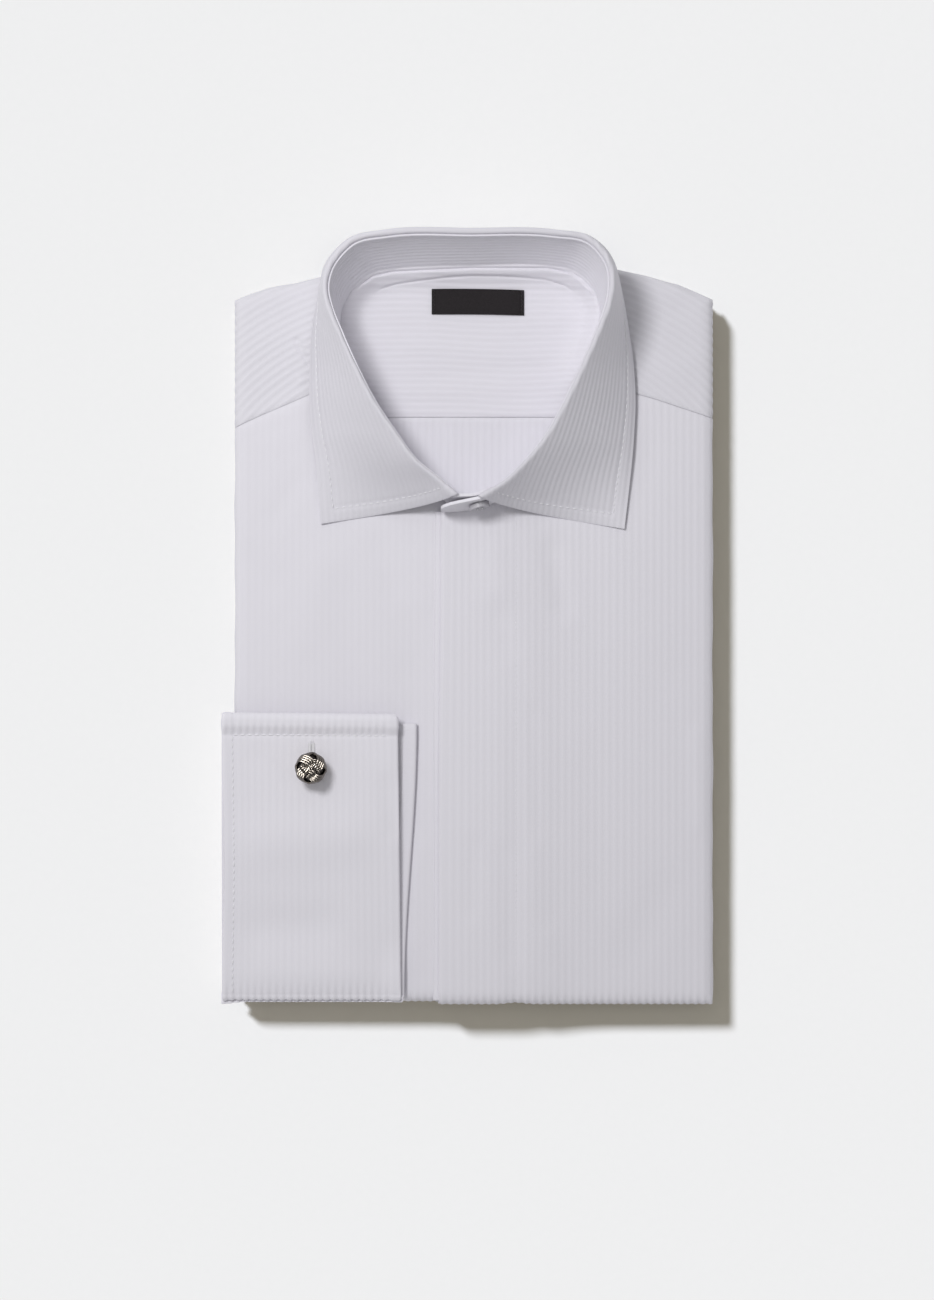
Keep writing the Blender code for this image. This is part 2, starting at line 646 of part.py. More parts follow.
def make_collar_button(collection, helpers, material):
    """A four-hole button, flat against the tab's outer face."""
    low, high = np.array(OVER_TAB[0]), np.array(COLLAR_SECTIONS[-1][:5])
    row = low + (high - low) * (BUTTON_X - low[0]) / (high[0] - low[0])
    top, foot = Vector(row[:3]), foot_of(row, False)
    along = Vector((high[0] - low[0], high[1] - low[1], 0.0)).normalized()
    out = along.cross(top - foot).normalized()
    if out.y > 0:
        out = -out
    diameter, thick = BUTTON
    centre = (top + foot) / 2 + out * (COLLAR_WALL / 2 + BUTTON_SHANK + thick / 2)
    turn = out.to_track_quat("Z", "Y").to_matrix().to_4x4()
    spot = Matrix.Translation(centre) @ turn
    bm = bmesh.new()
    bmesh.ops.create_cone(
        bm, cap_ends=True, segments=28, radius1=diameter / 2, radius2=diameter / 2, depth=thick, matrix=spot
    )
    button = add_object("collar_button", bm, collection, material)
    bm = bmesh.new()
    count, out_by, radius = BUTTON_HOLES
    for k in range(count):
        angle = 2 * math.pi * (k + 0.5) / count
        hole = Matrix.Translation((out_by * math.cos(angle), out_by * math.sin(angle), 0.0))
        bmesh.ops.create_cone(
            bm, cap_ends=True, segments=8, radius1=radius, radius2=radius, depth=thick + 2, matrix=spot @ hole
        )
    holes = add_object("button_holes", bm, helpers, material)
    cut(button, holes, "DIFFERENCE")
    edge = button.modifiers.new("rim", "BEVEL")
    edge.width = BUTTON_RIM * MM
    edge.segments = 2
    edge.limit_method = "ANGLE"
    edge.angle_limit = math.radians(50)
    return button


# ---------------------------------------------------------------- cuff, sleeve and cufflink


def cuff_middle(x, y):
    """Height of the middle of the flattened loop."""
    lift = CUFF_LIFT[0] + (CUFF_LIFT[1] - CUFF_LIFT[0]) * smooth(y, CUFF_LOOP, LINK[1])
    half = CUFF_HOLLOW / 2 + 2 * CUFF_PLY + CUFF_PLY_GAP
    return under_top(max(x, -100.0), y) + SEAM_GAP + lift + half


def make_cuff(collection, material):
    """A grid across and along the turned-back band, with two cells left open for each buttonhole."""
    inner = CUFF_HOLLOW / 2 + CUFF_PLY / 2
    outer = inner + CUFF_PLY + CUFF_PLY_GAP
    hole_x = (LINK[0] - BUTTONHOLE[0] / 2, LINK[0] + BUTTONHOLE[0] / 2)
    hole_y = (LINK[1] - BUTTONHOLE[2], LINK[1] - BUTTONHOLE[2] + BUTTONHOLE[1])
    between = [-98.0, -85.0, hole_x[0], hole_x[1], -58.0, -45.0]
    turn = 4
    # Across the band: the outer ply, the fold at the wrist, the inner ply.
    across = [("free", outer)] + [(x, outer) for x in between]
    across += [("fold", k) for k in range(turn + 1)]
    across += [(x, inner) for x in reversed(between)] + [("seam", inner)]
    # Along the band: the upper half, the loop, the lower half.
    upper_y = [CUFF_TOP, -50.0, hole_y[1], hole_y[0], -90.0, -108.0, -126.0, -144.0, -160.0]
    lower_y = [-160.0, -144.0, -126.0, -108.0, -90.0, hole_y[0], hole_y[1], -52.5, CUFF_LOW_TOP]
    loop = 8
    along = [(y, 0.0) for y in upper_y] + [(None, math.pi * k / loop) for k in range(loop + 1)]
    along += [(y, math.pi) for y in lower_y]
    loop_middle = CUFF_LOOP + outer + CUFF_PLY / 2

    def place(i, j):
        kind, depth = across[i]
        y, angle = along[j]
        lower = smooth(j / (len(along) - 1), 0.45, 0.62)
        y = loop_middle if y is None else y
        # The lower half stands out a little at the wrist, more towards the open edge.
        peek = lower * (CUFF_PEEK[0] + (CUFF_PEEK[1] - CUFF_PEEK[0]) * smooth(y, CUFF_LOOP, CUFF_LOW_TOP))
        if kind == "fold":
            bend = math.pi / 2 - math.pi * depth / turn
            radius = (outer - inner) / 2
            fold_x = np.interp(y, (CUFF_LOOP, CUFF_TOP), CUFF_FOLD) + peek - radius - CUFF_PLY / 2
            x = fold_x + radius * math.cos(bend)
            depth = (outer + inner) / 2 + radius * math.sin(bend)
        elif kind == "free":
            x = CUFF_FREE_EDGE + (CUFF_LOW_FREE_EDGE - CUFF_FREE_EDGE) * lower
        elif kind == "seam":
            x = CUFF_SEAM
        else:
            x = kind
        return x, y - depth * math.sin(angle), cuff_middle(x, y) + depth * math.cos(angle)

    rows = (upper_y.index(hole_y[1]), len(along) - len(lower_y) + lower_y.index(hole_y[0]))
    column = 1 + between.index(hole_x[0])
    holes = {(k, row) for row in rows for k in (column, len(across) - 2 - column)}
    return sheet("cuff_right", collection, material, len(across) - 1, len(along) - 1, place, CUFF_PLY, 0.0, holes)


def make_sleeve(collection, material):
    """From the cuff's seam round the shirt's left side down to the table, both plies pressed together."""
    path = (
        # x, z from the middle of the cuff down, z up from the table
        (CUFF_SEAM - 0.8, 0.0, None),
        (-109.2, -0.2, None),
        (-110.3, -1.1, None),
        (-110.8, -2.6, None),
        (-110.4, None, 12.0),
        (-109.6, None, 8.5),
        (-109.2, None, 4.5),
        (-109.2, None, 0.0),
    )
    ys = spread(SLEEVE_ENDS[0], SLEEVE_ENDS[1], 12)

    def place(i, j):
        x, below, above = path[i]
        z = above if below is None else cuff_middle(x, ys[j]) + below
        return x, ys[j], z

    return sheet("sleeve_right", collection, material, len(path) - 1, 12, place, SLEEVE_WALL, 0.0)


def knot_strand(t):
    """Direction of the wire bundle at t: three turns round the knot, with four bights."""
    polar = math.pi / 2 + KNOT_SWING * math.cos(KNOT_BIGHTS * t / KNOT_TURNS)
    return Vector((math.sin(polar) * math.cos(t), math.sin(polar) * math.sin(t), math.cos(polar)))


def make_knot(collection, material):
    """A ball whose surface rises and falls as the bundles pass over and under each other."""
    samples = 360
    strand = []
    for k in range(samples):
        t = 2 * math.pi * KNOT_TURNS * k / samples
        over = math.sin(2 * KNOT_BIGHTS * t / KNOT_TURNS)
        strand.append((*knot_strand(t), over))
    strand = np.array(strand)
    bm = bmesh.new()
    bmesh.ops.create_icosphere(bm, subdivisions=4, radius=1.0)
    for vert in bm.verts:
        away = np.arccos(np.clip(strand[:, :3] @ np.array(vert.co), -1, 1)) / KNOT_BUNDLE
        rise = 0.5 + 0.5 * strand[:, 3] - 1.6 * away**2
        vert.co *= KNOT_RADIUS - KNOT_RELIEF * (1.0 - max(0.0, min(1.0, float(rise.max()))))
    centre = (LINK[0], LINK[1], cuff_top(*LINK) + SEAM_GAP + KNOT_RADIUS)
    bmesh.ops.translate(bm, verts=bm.verts, vec=centre)
    return add_object("cufflink_knot", bm, collection, material)


def cuff_top(x, y):
    """Outer face of the cuff's upper half."""
    return cuff_middle(x, y) + CUFF_HOLLOW / 2 + 2 * CUFF_PLY + CUFF_PLY_GAP


def make_bar(collection, helpers, material):
    """The post through the four plies and the bar that turns flat under them."""
    length, radius = BAR
    low = under_top(*LINK) + 2 * SEAM_GAP + radius
    top = cuff_top(*LINK) + KNOT_RELIEF - 0.2
    bm = bmesh.new()
    lay = Matrix.Translation((LINK[0], LINK[1], low)) @ Matrix.Rotation(math.pi / 2, 4, "Y")
    bmesh.ops.create_cone(
        bm, cap_ends=True, segments=14, radius1=radius, radius2=radius, depth=length, matrix=lay
    )
    bar = add_object("cufflink_bar", bm, collection, material)
    bm = bmesh.new()
    stand = Matrix.Translation((LINK[0], LINK[1], (low + top) / 2))
    bmesh.ops.create_cone(
        bm, cap_ends=True, segments=14, radius1=POST_RADIUS, radius2=POST_RADIUS, depth=top - low, matrix=stand
    )
    post = add_object("cufflink_post", bm, helpers, material)
    cut(bar, post, "UNION")
    return bar


def main():
    clear_scene()
    shirt = new_collection("folded_dress_shirt")
    helpers = new_collection("helpers", visible=False)
    cloth = new_material("white_stripe_cotton", (0.80, 0.79, 0.82), 0.85)
    inside = new_material("white_cotton_inside", (0.80, 0.80, 0.82), 0.85)
    woven = new_material("black_woven_label", (0.03, 0.027, 0.028), 0.9)
    pearl = new_material("white_button", (0.85, 0.84, 0.82), 0.35)
    metal = new_material("silver_wire", (0.62, 0.59, 0.55), 0.3, 1.0)
    layers = new_material("white_cotton_folds", (0.76, 0.75, 0.78), 0.88)
    make_folded_layers(shirt, layers)
    make_back_panel(shirt, inside)
    make_yoke_inner(shirt, inside)
    make_fronts(shirt, cloth)
    make_fly_placket(shirt, cloth)
    make_yoke_outer(shirt, cloth)
    make_collar_stand(shirt, cloth)
    make_collar_leaf(shirt, cloth)
    make_collar_button(shirt, helpers, pearl)
    make_label(shirt, woven)
    make_cuff(shirt, cloth)
    make_sleeve(shirt, cloth)
    make_knot(shirt, metal)
    make_bar(shirt, helpers, metal)


main()
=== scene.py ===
# %% [markdown]
# # A dress shirt, folded flat
# A shirt that leaves the shop is folded round its own back: both fronts lie on top, the sides
# and the tails turn under, and the buttoned collar stands up at one end. This one has double
# cuffs, and one of them is brought round to the front and closed with a knotted wire cufflink.
#
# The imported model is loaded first. It fixes where every piece lies, in metres, with +Z up and
# the collar towards +Y.

# %% Load the frame
import math

import bpy
import numpy as np
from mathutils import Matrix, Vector


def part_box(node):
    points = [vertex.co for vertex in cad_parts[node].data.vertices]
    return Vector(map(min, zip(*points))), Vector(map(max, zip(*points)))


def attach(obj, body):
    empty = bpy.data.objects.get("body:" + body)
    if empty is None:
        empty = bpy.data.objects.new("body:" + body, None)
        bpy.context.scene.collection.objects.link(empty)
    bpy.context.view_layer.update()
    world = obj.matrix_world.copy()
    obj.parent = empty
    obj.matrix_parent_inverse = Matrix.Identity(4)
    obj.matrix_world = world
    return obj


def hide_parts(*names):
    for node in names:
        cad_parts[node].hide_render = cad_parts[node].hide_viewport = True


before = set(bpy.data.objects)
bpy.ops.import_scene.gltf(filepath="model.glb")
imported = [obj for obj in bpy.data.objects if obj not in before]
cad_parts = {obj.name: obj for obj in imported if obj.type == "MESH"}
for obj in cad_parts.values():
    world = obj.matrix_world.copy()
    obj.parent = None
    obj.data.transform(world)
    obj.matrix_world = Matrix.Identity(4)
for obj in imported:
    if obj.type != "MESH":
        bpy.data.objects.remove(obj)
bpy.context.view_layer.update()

MM = 0.001

# %% [markdown]
# ## The pile
# Cloth takes its shape from what is under it, so one set of heights serves every layer: a pile
# that is highest in the middle, a rise to the neck seam, and one more thickness for each layer
# laid on. All the sizes below are in millimetres.

# %% Sizes of the fold
LEFT_SIDE, RIGHT_SIDE = -107.2, 113.5
HEM_UNDER, HEM_OVER = -176.1, -177.4
SHOULDER_LINE = (
    # x, y
    (-107.2, 147.3), (-100.5, 150), (-92, 153.1), (-80.2, 155.2), (-66, 158.4),
    (-52, 162.6), (-30, 164.6), (2, 165.4), (36, 165.2), (54, 163.8),
    (69.3, 161.6), (84.8, 158.1), (97.3, 154.7), (105.1, 151.3), (113.5, 147.8),
)
YOKE_SEAM_LEFT = ((-107.2, 88.4), (-94.6, 94.1), (-83.4, 98.8), (-71.8, 103.9), (-51, 112.2))
YOKE_SEAM_RIGHT = ((52, 113.4), (78.9, 103.6), (86.9, 101.4), (97.1, 98), (113.5, 92.6))
BACK_SEAM = 93.2
PILE_MIDDLE = (3, -8)  # where the pile is highest
LAYER = 1.4  # one more layer of cloth
CLOTH = 0.7  # wall of the body cloth
WRAP_LOW = 7  # how low the fronts turn round the sides
PLACKET_EDGE, PLACKET_STITCH, UNDERLAP_END, FLY_EDGE = -12.4, 22.5, 20, -15
ROLLED_EDGE = (
    # inset, rise
    (0, 0), (0.15, 0.32), (0.6, 0.6), (1.6, 0.82), (3.4, 0.95), (6, 1),
)
STRIPE, COLLAR_STRIPE, YOKE_STRIPE = 3.4, 2.85, 2.9  # from one satin stripe to the next
print("folded shirt:", RIGHT_SIDE - LEFT_SIDE, "by", SHOULDER_LINE[7][1] - HEM_OVER, "mm")

# %% [markdown]
# The collar is given by its sections. Each one is a cut across the collar: where the roll is
# highest, where the stand is sewn to the neck, and where the turned-down leaf ends.

# %% The collar's sections
UNDER_TAB = (
    # crest x, y, z, foot x, y
    (13.6, 61.6, 39, 15.1, 58.3),
    (4.1, 57.1, 41, 5, 54.2),
)
COLLAR_SECTIONS = (
    # crest x, y, z, foot x, y, edge x, y, z, roundness
    (-5.4, 56.5, 43, -7.8, 53.2, -67.1, 43.9, 17, -7),
    (-13.4, 63.5, 44.2, -16.5, 60.4, -68, 56.8, 17, -4),
    (-23.5, 71.6, 46.4, -26.6, 69.1, -68.9, 71, 17.5, -1),
    (-33.2, 84.4, 48.6, -36.3, 83.8, -70.7, 85.7, 17.8, 2),
    (-42.7, 98.3, 50.2, -45, 98.9, -71.7, 100.8, 18, 4),
    (-51, 114.2, 50.8, -52.6, 115.9, -71.4, 118.2, 18.5, 5),
    (-58, 129.9, 50.3, -58.3, 131.5, -70.4, 132.9, 19.5, 5),
    (-62.6, 141.4, 49.2, -58.3, 141.6, -68.2, 144.7, 20.5, 6),
    (-64.4, 150.7, 48.4, -56, 147.1, -66.4, 154, 21, 6),
    (-62.7, 158.8, 49, -53.3, 151.3, -64.5, 161.4, 19, 6),
    (-58.6, 165.3, 49.5, -49.1, 155.2, -59.9, 167.6, 16, 6),
    (-51.9, 171.4, 49.8, -43.6, 159.1, -53, 172.4, 12.5, 6),
    (-37, 174.7, 50.3, -34.4, 161.1, -37.8, 173.4, 10, 6),
    (1.8, 175.5, 50, 1.8, 162.8, 1.8, 173.8, 9, 5),
    (40.2, 174.7, 50.3, 37.6, 162.7, 41, 173.4, 10, 6),
    (55.1, 171.9, 50, 48.7, 160.4, 56.4, 172.6, 13.5, 6),
    (61.2, 166.3, 50.5, 54.2, 156.8, 63, 168.6, 18, 6),
    (64.6, 160, 51.3, 57.8, 152.6, 66.9, 162, 21.5, 7),
    (65.6, 151.6, 52.3, 60.1, 148.5, 69.3, 153.6, 24, 8),
    (64.4, 143, 53, 61.5, 142.5, 71.4, 144.7, 23.2, 8),
    (60.2, 131.3, 53, 60.4, 132.4, 73.4, 133.4, 21, 8),
    (53.3, 115.1, 52.6, 54.6, 116.8, 75.6, 119.1, 19, 7),
    (45.6, 98.9, 51.2, 47.7, 99.4, 76.8, 100.8, 18, 5),
    (37.1, 83.6, 49.2, 39.9, 82.9, 76.2, 84.3, 17.8, 2),
    (26, 70.2, 46.6, 28.5, 67.7, 75.1, 68.7, 17.5, -1),
    (18.4, 63, 44.2, 21.1, 59.5, 73.8, 54.9, 17, -4),
    (6.2, 55.6, 43, 8.2, 51.9, 72.4, 41.6, 17, -7),
)
OVER_TAB = (
    # crest x, y, z, foot x, y
    (0.4, 54.4, 42, 1, 50.6),
    (-11.9, 52.1, 41, -11.8, 49.4),
)
COLLAR_WALL, STAND_WALL, ROLL_RADIUS, STAND_SEAM_DROP, STAND_BOW = 1, 1.4, 0.9, 1.3, 0.8
NECK_UNDER = [(r[3], r[4]) for r in UNDER_TAB] + [(r[3], r[4]) for r in COLLAR_SECTIONS[:14]]
NECK_OVER = [(r[3], r[4]) for r in COLLAR_SECTIONS[13:]] + [(r[3], r[4]) for r in OVER_TAB]
NECK_LINE = np.array(NECK_UNDER + NECK_OVER[1:])
print("collar sections:", len(COLLAR_SECTIONS))

# %% [markdown]
# A few small tools for numbers. `smooth` eases from 0 to 1, `read_line` reads a line given by
# its corners, and `smooth_rows` draws a soft curve through a short table, so that a few
# sections are enough for a whole collar.

# %% Tools for heights
def smooth(x, low, high):
    t = np.clip((x - low) / (high - low), 0, 1)
    return t * t * (3 - 2 * t)


def bump(distance, width):
    return np.exp(-((distance / width) ** 2))


def rolled_down(distance, width, reach=1):
    """How far a folded edge rolls down: 1 at the edge itself, 0 beyond the width."""
    return 1 - np.sqrt(1 - (1 - np.clip(distance / width, 0, 1)) ** 2 * reach)


def stripes(across, pitch=STRIPE):
    return np.cos(2 * math.pi * across / pitch)


def read_line(points, x):
    return np.interp(x, [p[0] for p in points], [p[1] for p in points])


def along_line(points):
    """How far each point of a line lies from the first one, along the line."""
    return np.concatenate([[0], np.cumsum(np.linalg.norm(np.diff(points, axis=0), axis=1))])


def grid_of(*values):
    """One table of places, or of weave coordinates, from its separate numbers."""
    return np.stack(np.broadcast_arrays(*values), 2)


def smooth_rows(rows, pieces):
    rows = np.array(rows, float)
    place = along_line(rows[:, :3])
    slope = np.gradient(rows, place, axis=0)
    out = []
    for i in range(len(rows) - 1):
        span = place[i + 1] - place[i]
        for t in np.arange(pieces) / pieces:
            a = 2 * t**3 - 3 * t**2 + 1
            b = (t**3 - 2 * t**2 + t) * span
            c = (t**3 - t**2) * span
            out.append(a * rows[i] + (1 - a) * rows[i + 1] + b * slope[i] + c * slope[i + 1])
    return np.array(out + [rows[-1]])


def steps(low, high, pitch):
    return np.linspace(low, high, max(1, round(abs(high - low) / pitch)) + 1)


def join_steps(*runs):
    """One list of numbers from several runs that share their ends."""
    return np.concatenate([runs[0]] + [run[1:] for run in runs[1:]])


def neck_distance(x, y):
    """Distance from the neck seam, seen from above."""
    nearest = np.full(np.shape(x), 1e6)
    for (ax, ay), (bx, by) in zip(NECK_LINE, NECK_LINE[1:]):
        dx, dy = bx - ax, by - ay
        share = np.clip(((x - ax) * dx + (y - ay) * dy) / (dx * dx + dy * dy), 0, 1)
        nearest = np.minimum(nearest, np.hypot(x - ax - share * dx, y - ay - share * dy))
    return nearest


def stack_top(x, y):
    """Top of the layers folded behind."""
    u, v = (x - PILE_MIDDLE[0]) / 113, (y - PILE_MIDDLE[1]) / 175
    return 11.5 + 3 * np.maximum(0, 1 - u * u) * np.maximum(0, 1 - v * v)


def under_top(x, y):
    """Outer face of the front underneath, and of the yoke."""
    mound = (1 + 4 * smooth(y, 55, 100)) * bump(neck_distance(x, y), 14)
    return stack_top(x, y) + 2 * LAYER + mound


def over_top(x, y):
    """Outer face of the front on top: it comes down softly beyond the underlap and the strip."""
    return under_top(x, y) + LAYER * ((1 - smooth(x, 20, 44)) + (1 - smooth(x, 22, 62)))


def turned_under(z, rise):
    """Heights that come down to the side of the pile where the cloth turns round it."""
    return WRAP_LOW + (z - WRAP_LOW) * rise


print("height at the middle:", round(float(over_top(0, -20)), 1), "mm")

# %% [markdown]
# ## Creases
# Cloth that has been pressed and packed keeps soft, uneven troughs and ridges. Each one is a
# line with a width and a height: a negative height is a trough. They fade out at both ends.

# %% Creases
CREASES_OVER = (
    # x, y, to x, to y, width, height
    (16, -104, 20, -158, 6, -0.45),
    (11, 38, 15, 6, 8, 0.9),
    (38, 36, 45, 2, 5.5, -0.8),
    (13, 8, 20, -16, 6, -0.5),
    (30, -40, 32, -100, 3.5, -0.3),
    (106, -50, 107, -98, 4, 0.35),
    (37, -142, 41, -170, 6, 0.4),
    (4, -100, 2, -138, 5, -0.38),
    (84, 84, 72, 40, 8, -0.35),
    (60, 30, 88, -20, 12, 0.4),
    (95, -120, 70, -160, 10, -0.4),
    (56, -60, 62, -130, 11, -0.3),
)
CREASES_UNDER = (
    # x, y, to x, to y, width, height
    (-42, 38, -32, 10, 6, -0.55),
    (-104, 32, -88, 12, 6, -0.4),
    (-92, 44, -76, 66, 5, -0.35),
    (-66, 34, -78, -18, 9, 0.45),
    (-56, 20, -52, -40, 8, -0.3),
    (-30, -20, -22, -60, 7, -0.35),
    (-26, 30, -19, 4, 5, 0.35),
    (-96, 84, -82, 80, 6, 0.3),
    (-20, -100, -24, -160, 6, 0.35),
)
CREASES_YOKE = (
    # x, y, to x, to y, width, height
    (-104, 120, -84, 134, 7, 0.35),
    (-96, 100, -74, 112, 6, -0.35),
    (84, 118, 80, 136, 6, -0.6),
    (108, 122, 94, 112, 7, 0.35),
    (102, 144, 88, 140, 6, -0.3),
)


def creased(table, x, y):
    """Height that a table of creases adds."""
    total = np.zeros(np.shape(x))
    for x0, y0, x1, y1, width, height in table:
        dx, dy = x1 - x0, y1 - y0
        length = math.hypot(dx, dy)
        along = ((x - x0) * dx + (y - y0) * dy) / length
        off = ((x - x0) * dy - (y - y0) * dx) / length
        fade = smooth(along, -width, width) * (1 - smooth(along, length - width, length + width))
        total += height * fade * bump(off, width)
    return total


print("creases:", len(CREASES_OVER) + len(CREASES_UNDER) + len(CREASES_YOKE))

# %% [markdown]
# ## Materials
# The shirting is woven white on white. Satin stripes stand a little proud and shine a little
# more than the twill between them, which is woven in a herringbone. Every sheet carries a UV
# map named *weave*, measured in millimetres: u runs across the stripes and v along them, so the
# pattern follows the cloth over folds and round the neck.

# %% Node helpers
class Finish:
    """A material, whose nodes are added by short calls."""

    def __init__(self, name):
        self.material = bpy.data.materials.new(name)
        self.material.use_nodes = True
        self.tree = self.material.node_tree
        self.place = self.node("TexCoord", output="Object")

    def put(self, node, values):
        """Gives each named input a number, a colour or another node's output."""
        for key, value in values.items():
            if isinstance(value, (int, float)):
                node.inputs[key].default_value = value
            elif isinstance(value, tuple):
                node.inputs[key].default_value = (*value, 1)
            else:
                self.tree.links.new(value, node.inputs[key])

    def node(self, kind, values={}, output=0, **settings):
        node = self.tree.nodes.new("ShaderNode" + kind)
        for name, setting in settings.items():
            setattr(node, name, setting)
        self.put(node, values)
        return node.outputs[output]

    def math(self, operation, *values):
        return self.node("Math", dict(enumerate(values)), operation=operation)

    def wave(self, value, pitch, operation="COSINE"):
        return self.math(operation, self.math("MULTIPLY", value, 2 * math.pi / pitch))

    def axes(self, vector):
        return [self.node("SeparateXYZ", {0: vector}, axis) for axis in "XYZ"]

    def noise(self, scale, detail=2):
        return self.node("TexNoise", {"Vector": self.place, "Scale": scale, "Detail": detail}, "Fac")

    def mix(self, factor, low, high):
        return self.node("Mix", {0: factor, 6: low, 7: high}, 2, data_type="RGBA")

    def bump(self, height, distance, strength, before=None):
        values = {"Height": height, "Distance": distance * MM, "Strength": strength}
        return self.node("Bump", values | ({"Normal": before} if before else {}), "Normal")

    def done(self, colour, roughness, normal=None, **others):
        values = {"Base Color": colour, "Roughness": roughness} | ({"Normal": normal} if normal else {})
        values |= {name.replace("_", " "): value for name, value in others.items()}
        self.put(self.tree.nodes["Principled BSDF"], values)
        return self.material


def shaded(colour, share):
    """A colour made darker or lighter, and never brighter than white cotton."""
    return tuple(min(c * share, 0.9) for c in colour)


# %% The shirting
def shirting(name, pitch, colour, shade, relief):
    """White striped cotton: satin stripes between bands of herringbone twill."""
    cloth = Finish(name)
    across, along, _ = cloth.axes(cloth.node("UVMap", output="UV", uv_map="weave"))
    # One turn of the stripe, from -1 between the stripes to 1 on the satin.
    wave = cloth.wave(across, pitch)
    satin = cloth.node("Clamp", {"Value": cloth.math("MULTIPLY_ADD", wave, 1.6, 0.5)}, "Result")
    # Herringbone: the twill lines turn back at the middle of each stripe.
    twill = cloth.wave(cloth.math("ADD", along, cloth.math("PINGPONG", across, pitch / 2)), 0.62, "SINE")
    thread = cloth.wave(across, 0.34, "SINE")
    slub, cloud = cloth.noise(900, 3), cloth.noise(26)
    # Colour: the satin is painted a shade lighter, a painted sheen on a real woven stripe, and the cloth
    # varies very softly.
    striped = cloth.mix(satin, shaded(colour, shade), colour)
    clouded = cloth.mix(cloud, shaded(colour, 0.975), shaded(colour, 1.02))
    tint = cloth.mix(cloth.math("MULTIPLY", cloud, 0.5), striped, clouded)
    # Relief: stripes, then threads.
    fine = cloth.math("ADD", cloth.math("MULTIPLY", twill, 0.6), cloth.math("MULTIPLY", thread, 0.25))
    woven = cloth.bump(cloth.math("ADD", fine, slub), 0.045, 0.7, cloth.bump(wave, relief, 1))
    rough = cloth.math("MULTIPLY_ADD", satin, -0.16, 0.84)
    return cloth.done(tint, rough, woven, Specular_IOR_Level=0.28, Sheen_Weight=0.12, Sheen_Roughness=0.55)


# All of these are one white cotton. Each piece's colour is made lighter or darker as painted light and shade:
# the leaf darker, the back, the yoke and the inside a little darker, the stand and the cuff lighter.
COTTONS_PAINTED_LIGHTER_OR_DARKER = {
    # name: stripe, colour, shade between the stripes, relief of a stripe. The shade between the stripes is
    # painted sheen, set piece by piece and faintest on the front underneath.
    "body": (STRIPE, (0.794, 0.777, 0.834), 0.977, 0.033),
    "shaded": (STRIPE, (0.794, 0.777, 0.834), 0.984, 0.014),
    "cuff": (STRIPE, (0.805, 0.788, 0.845), 0.98, 0.024),
    "back": (STRIPE, (0.77, 0.755, 0.808), 0.976, 0.03),
    "stand": (COLLAR_STRIPE, (0.85, 0.835, 0.89), 0.97, 0.06),
    "leaf": (COLLAR_STRIPE, (0.745, 0.73, 0.785), 0.976, 0.05),
    "yoke": (STRIPE, (0.77, 0.755, 0.81), 0.97, 0.055),
    "inside": (YOKE_STRIPE, (0.785, 0.768, 0.822), 0.969, 0.046),
}
cotton = {name: shirting(name + "_cotton", *values) for name, values in COTTONS_PAINTED_LIGHTER_OR_DARKER.items()}
print("cottons:", list(cotton))

# %% [markdown]
# The other finishes: folded cotton for the edges of the pile, sewing thread, the woven label's
# black tape, the button, and the cufflink's wire. They read Object coordinates, which stay with
# the piece.

# %% Thread, tape, button and wire
def folded_cotton():
    cloth = Finish("folded_cotton")
    x, _, z = cloth.axes(cloth.place)
    rib, ply_relief_and_shade = cloth.wave(x, STRIPE * MM), cloth.wave(z, 0.0011)
    # The colour turns darker at each ply, which is painted shade between the plies, and the whole edge is a
    # little darker than the cotton on top.
    colour = cloth.mix(cloth.math("MULTIPLY_ADD", ply_relief_and_shade, 0.5, 0.5), (0.7, 0.69, 0.72), (0.78, 0.775, 0.81))
    plies = cloth.bump(ply_relief_and_shade, 0.12, 0.8, cloth.bump(rib, 0.08, 0.7))
    return cloth.done(colour, 0.85, cloth.bump(cloth.noise(700, 3), 0.08, 0.6, plies), Specular_IOR_Level=0.2)


def sewing_thread(name, low, high=None):
    thread = Finish(name)
    twist = thread.noise(3500, 1)
    colour = thread.mix(twist, low, high) if high else low
    return thread.done(colour, 0.55, thread.bump(twist, 0.05, 0.6))


def label_tape():
    cloth = Finish("black_label_tape")
    x, y, _ = cloth.axes(cloth.place)
    weave = cloth.math("MULTIPLY", cloth.wave(y, 0.00032, "SINE"), cloth.wave(x, 0.00045, "SINE"))
    fibre = cloth.noise(1600)
    colour = cloth.mix(fibre, (0.011, 0.009, 0.01), (0.024, 0.02, 0.022))
    relief = cloth.bump(fibre, 0.05, 0.5, cloth.bump(weave, 0.04, 0.8))
    return cloth.done(colour, 0.7, relief, Specular_IOR_Level=0.22)


def pearl_button_painted_grey():
    pearl = Finish("white_pearl_button")
    cloud = pearl.noise(420, 3)
    # The white pearl is painted mid grey: painted shade, as if the leaf's tip shaded the button.
    colour = pearl.mix(cloud, (0.4, 0.39, 0.42), (0.5, 0.49, 0.52))
    return pearl.done(colour, 0.42, pearl.bump(cloud, 0.03, 0.4))


def silver_wire(name, bright, dark, roughness):
    metal = Finish(name)
    tarnish = metal.noise(600, 3)
    rough = metal.math("MULTIPLY_ADD", tarnish, 0.12, roughness)
    grain = metal.bump(metal.noise(2600), 0.02, 0.3)
    return metal.done(metal.mix(tarnish, dark, bright), rough, grain, Metallic=1)


pile_cotton, tape, button_pearl_painted_grey = folded_cotton(), label_tape(), pearl_button_painted_grey()
white_thread = sewing_thread("white_thread", (0.78, 0.775, 0.81), (0.86, 0.855, 0.88))
black_thread = sewing_thread("black_thread", (0.03, 0.028, 0.03))
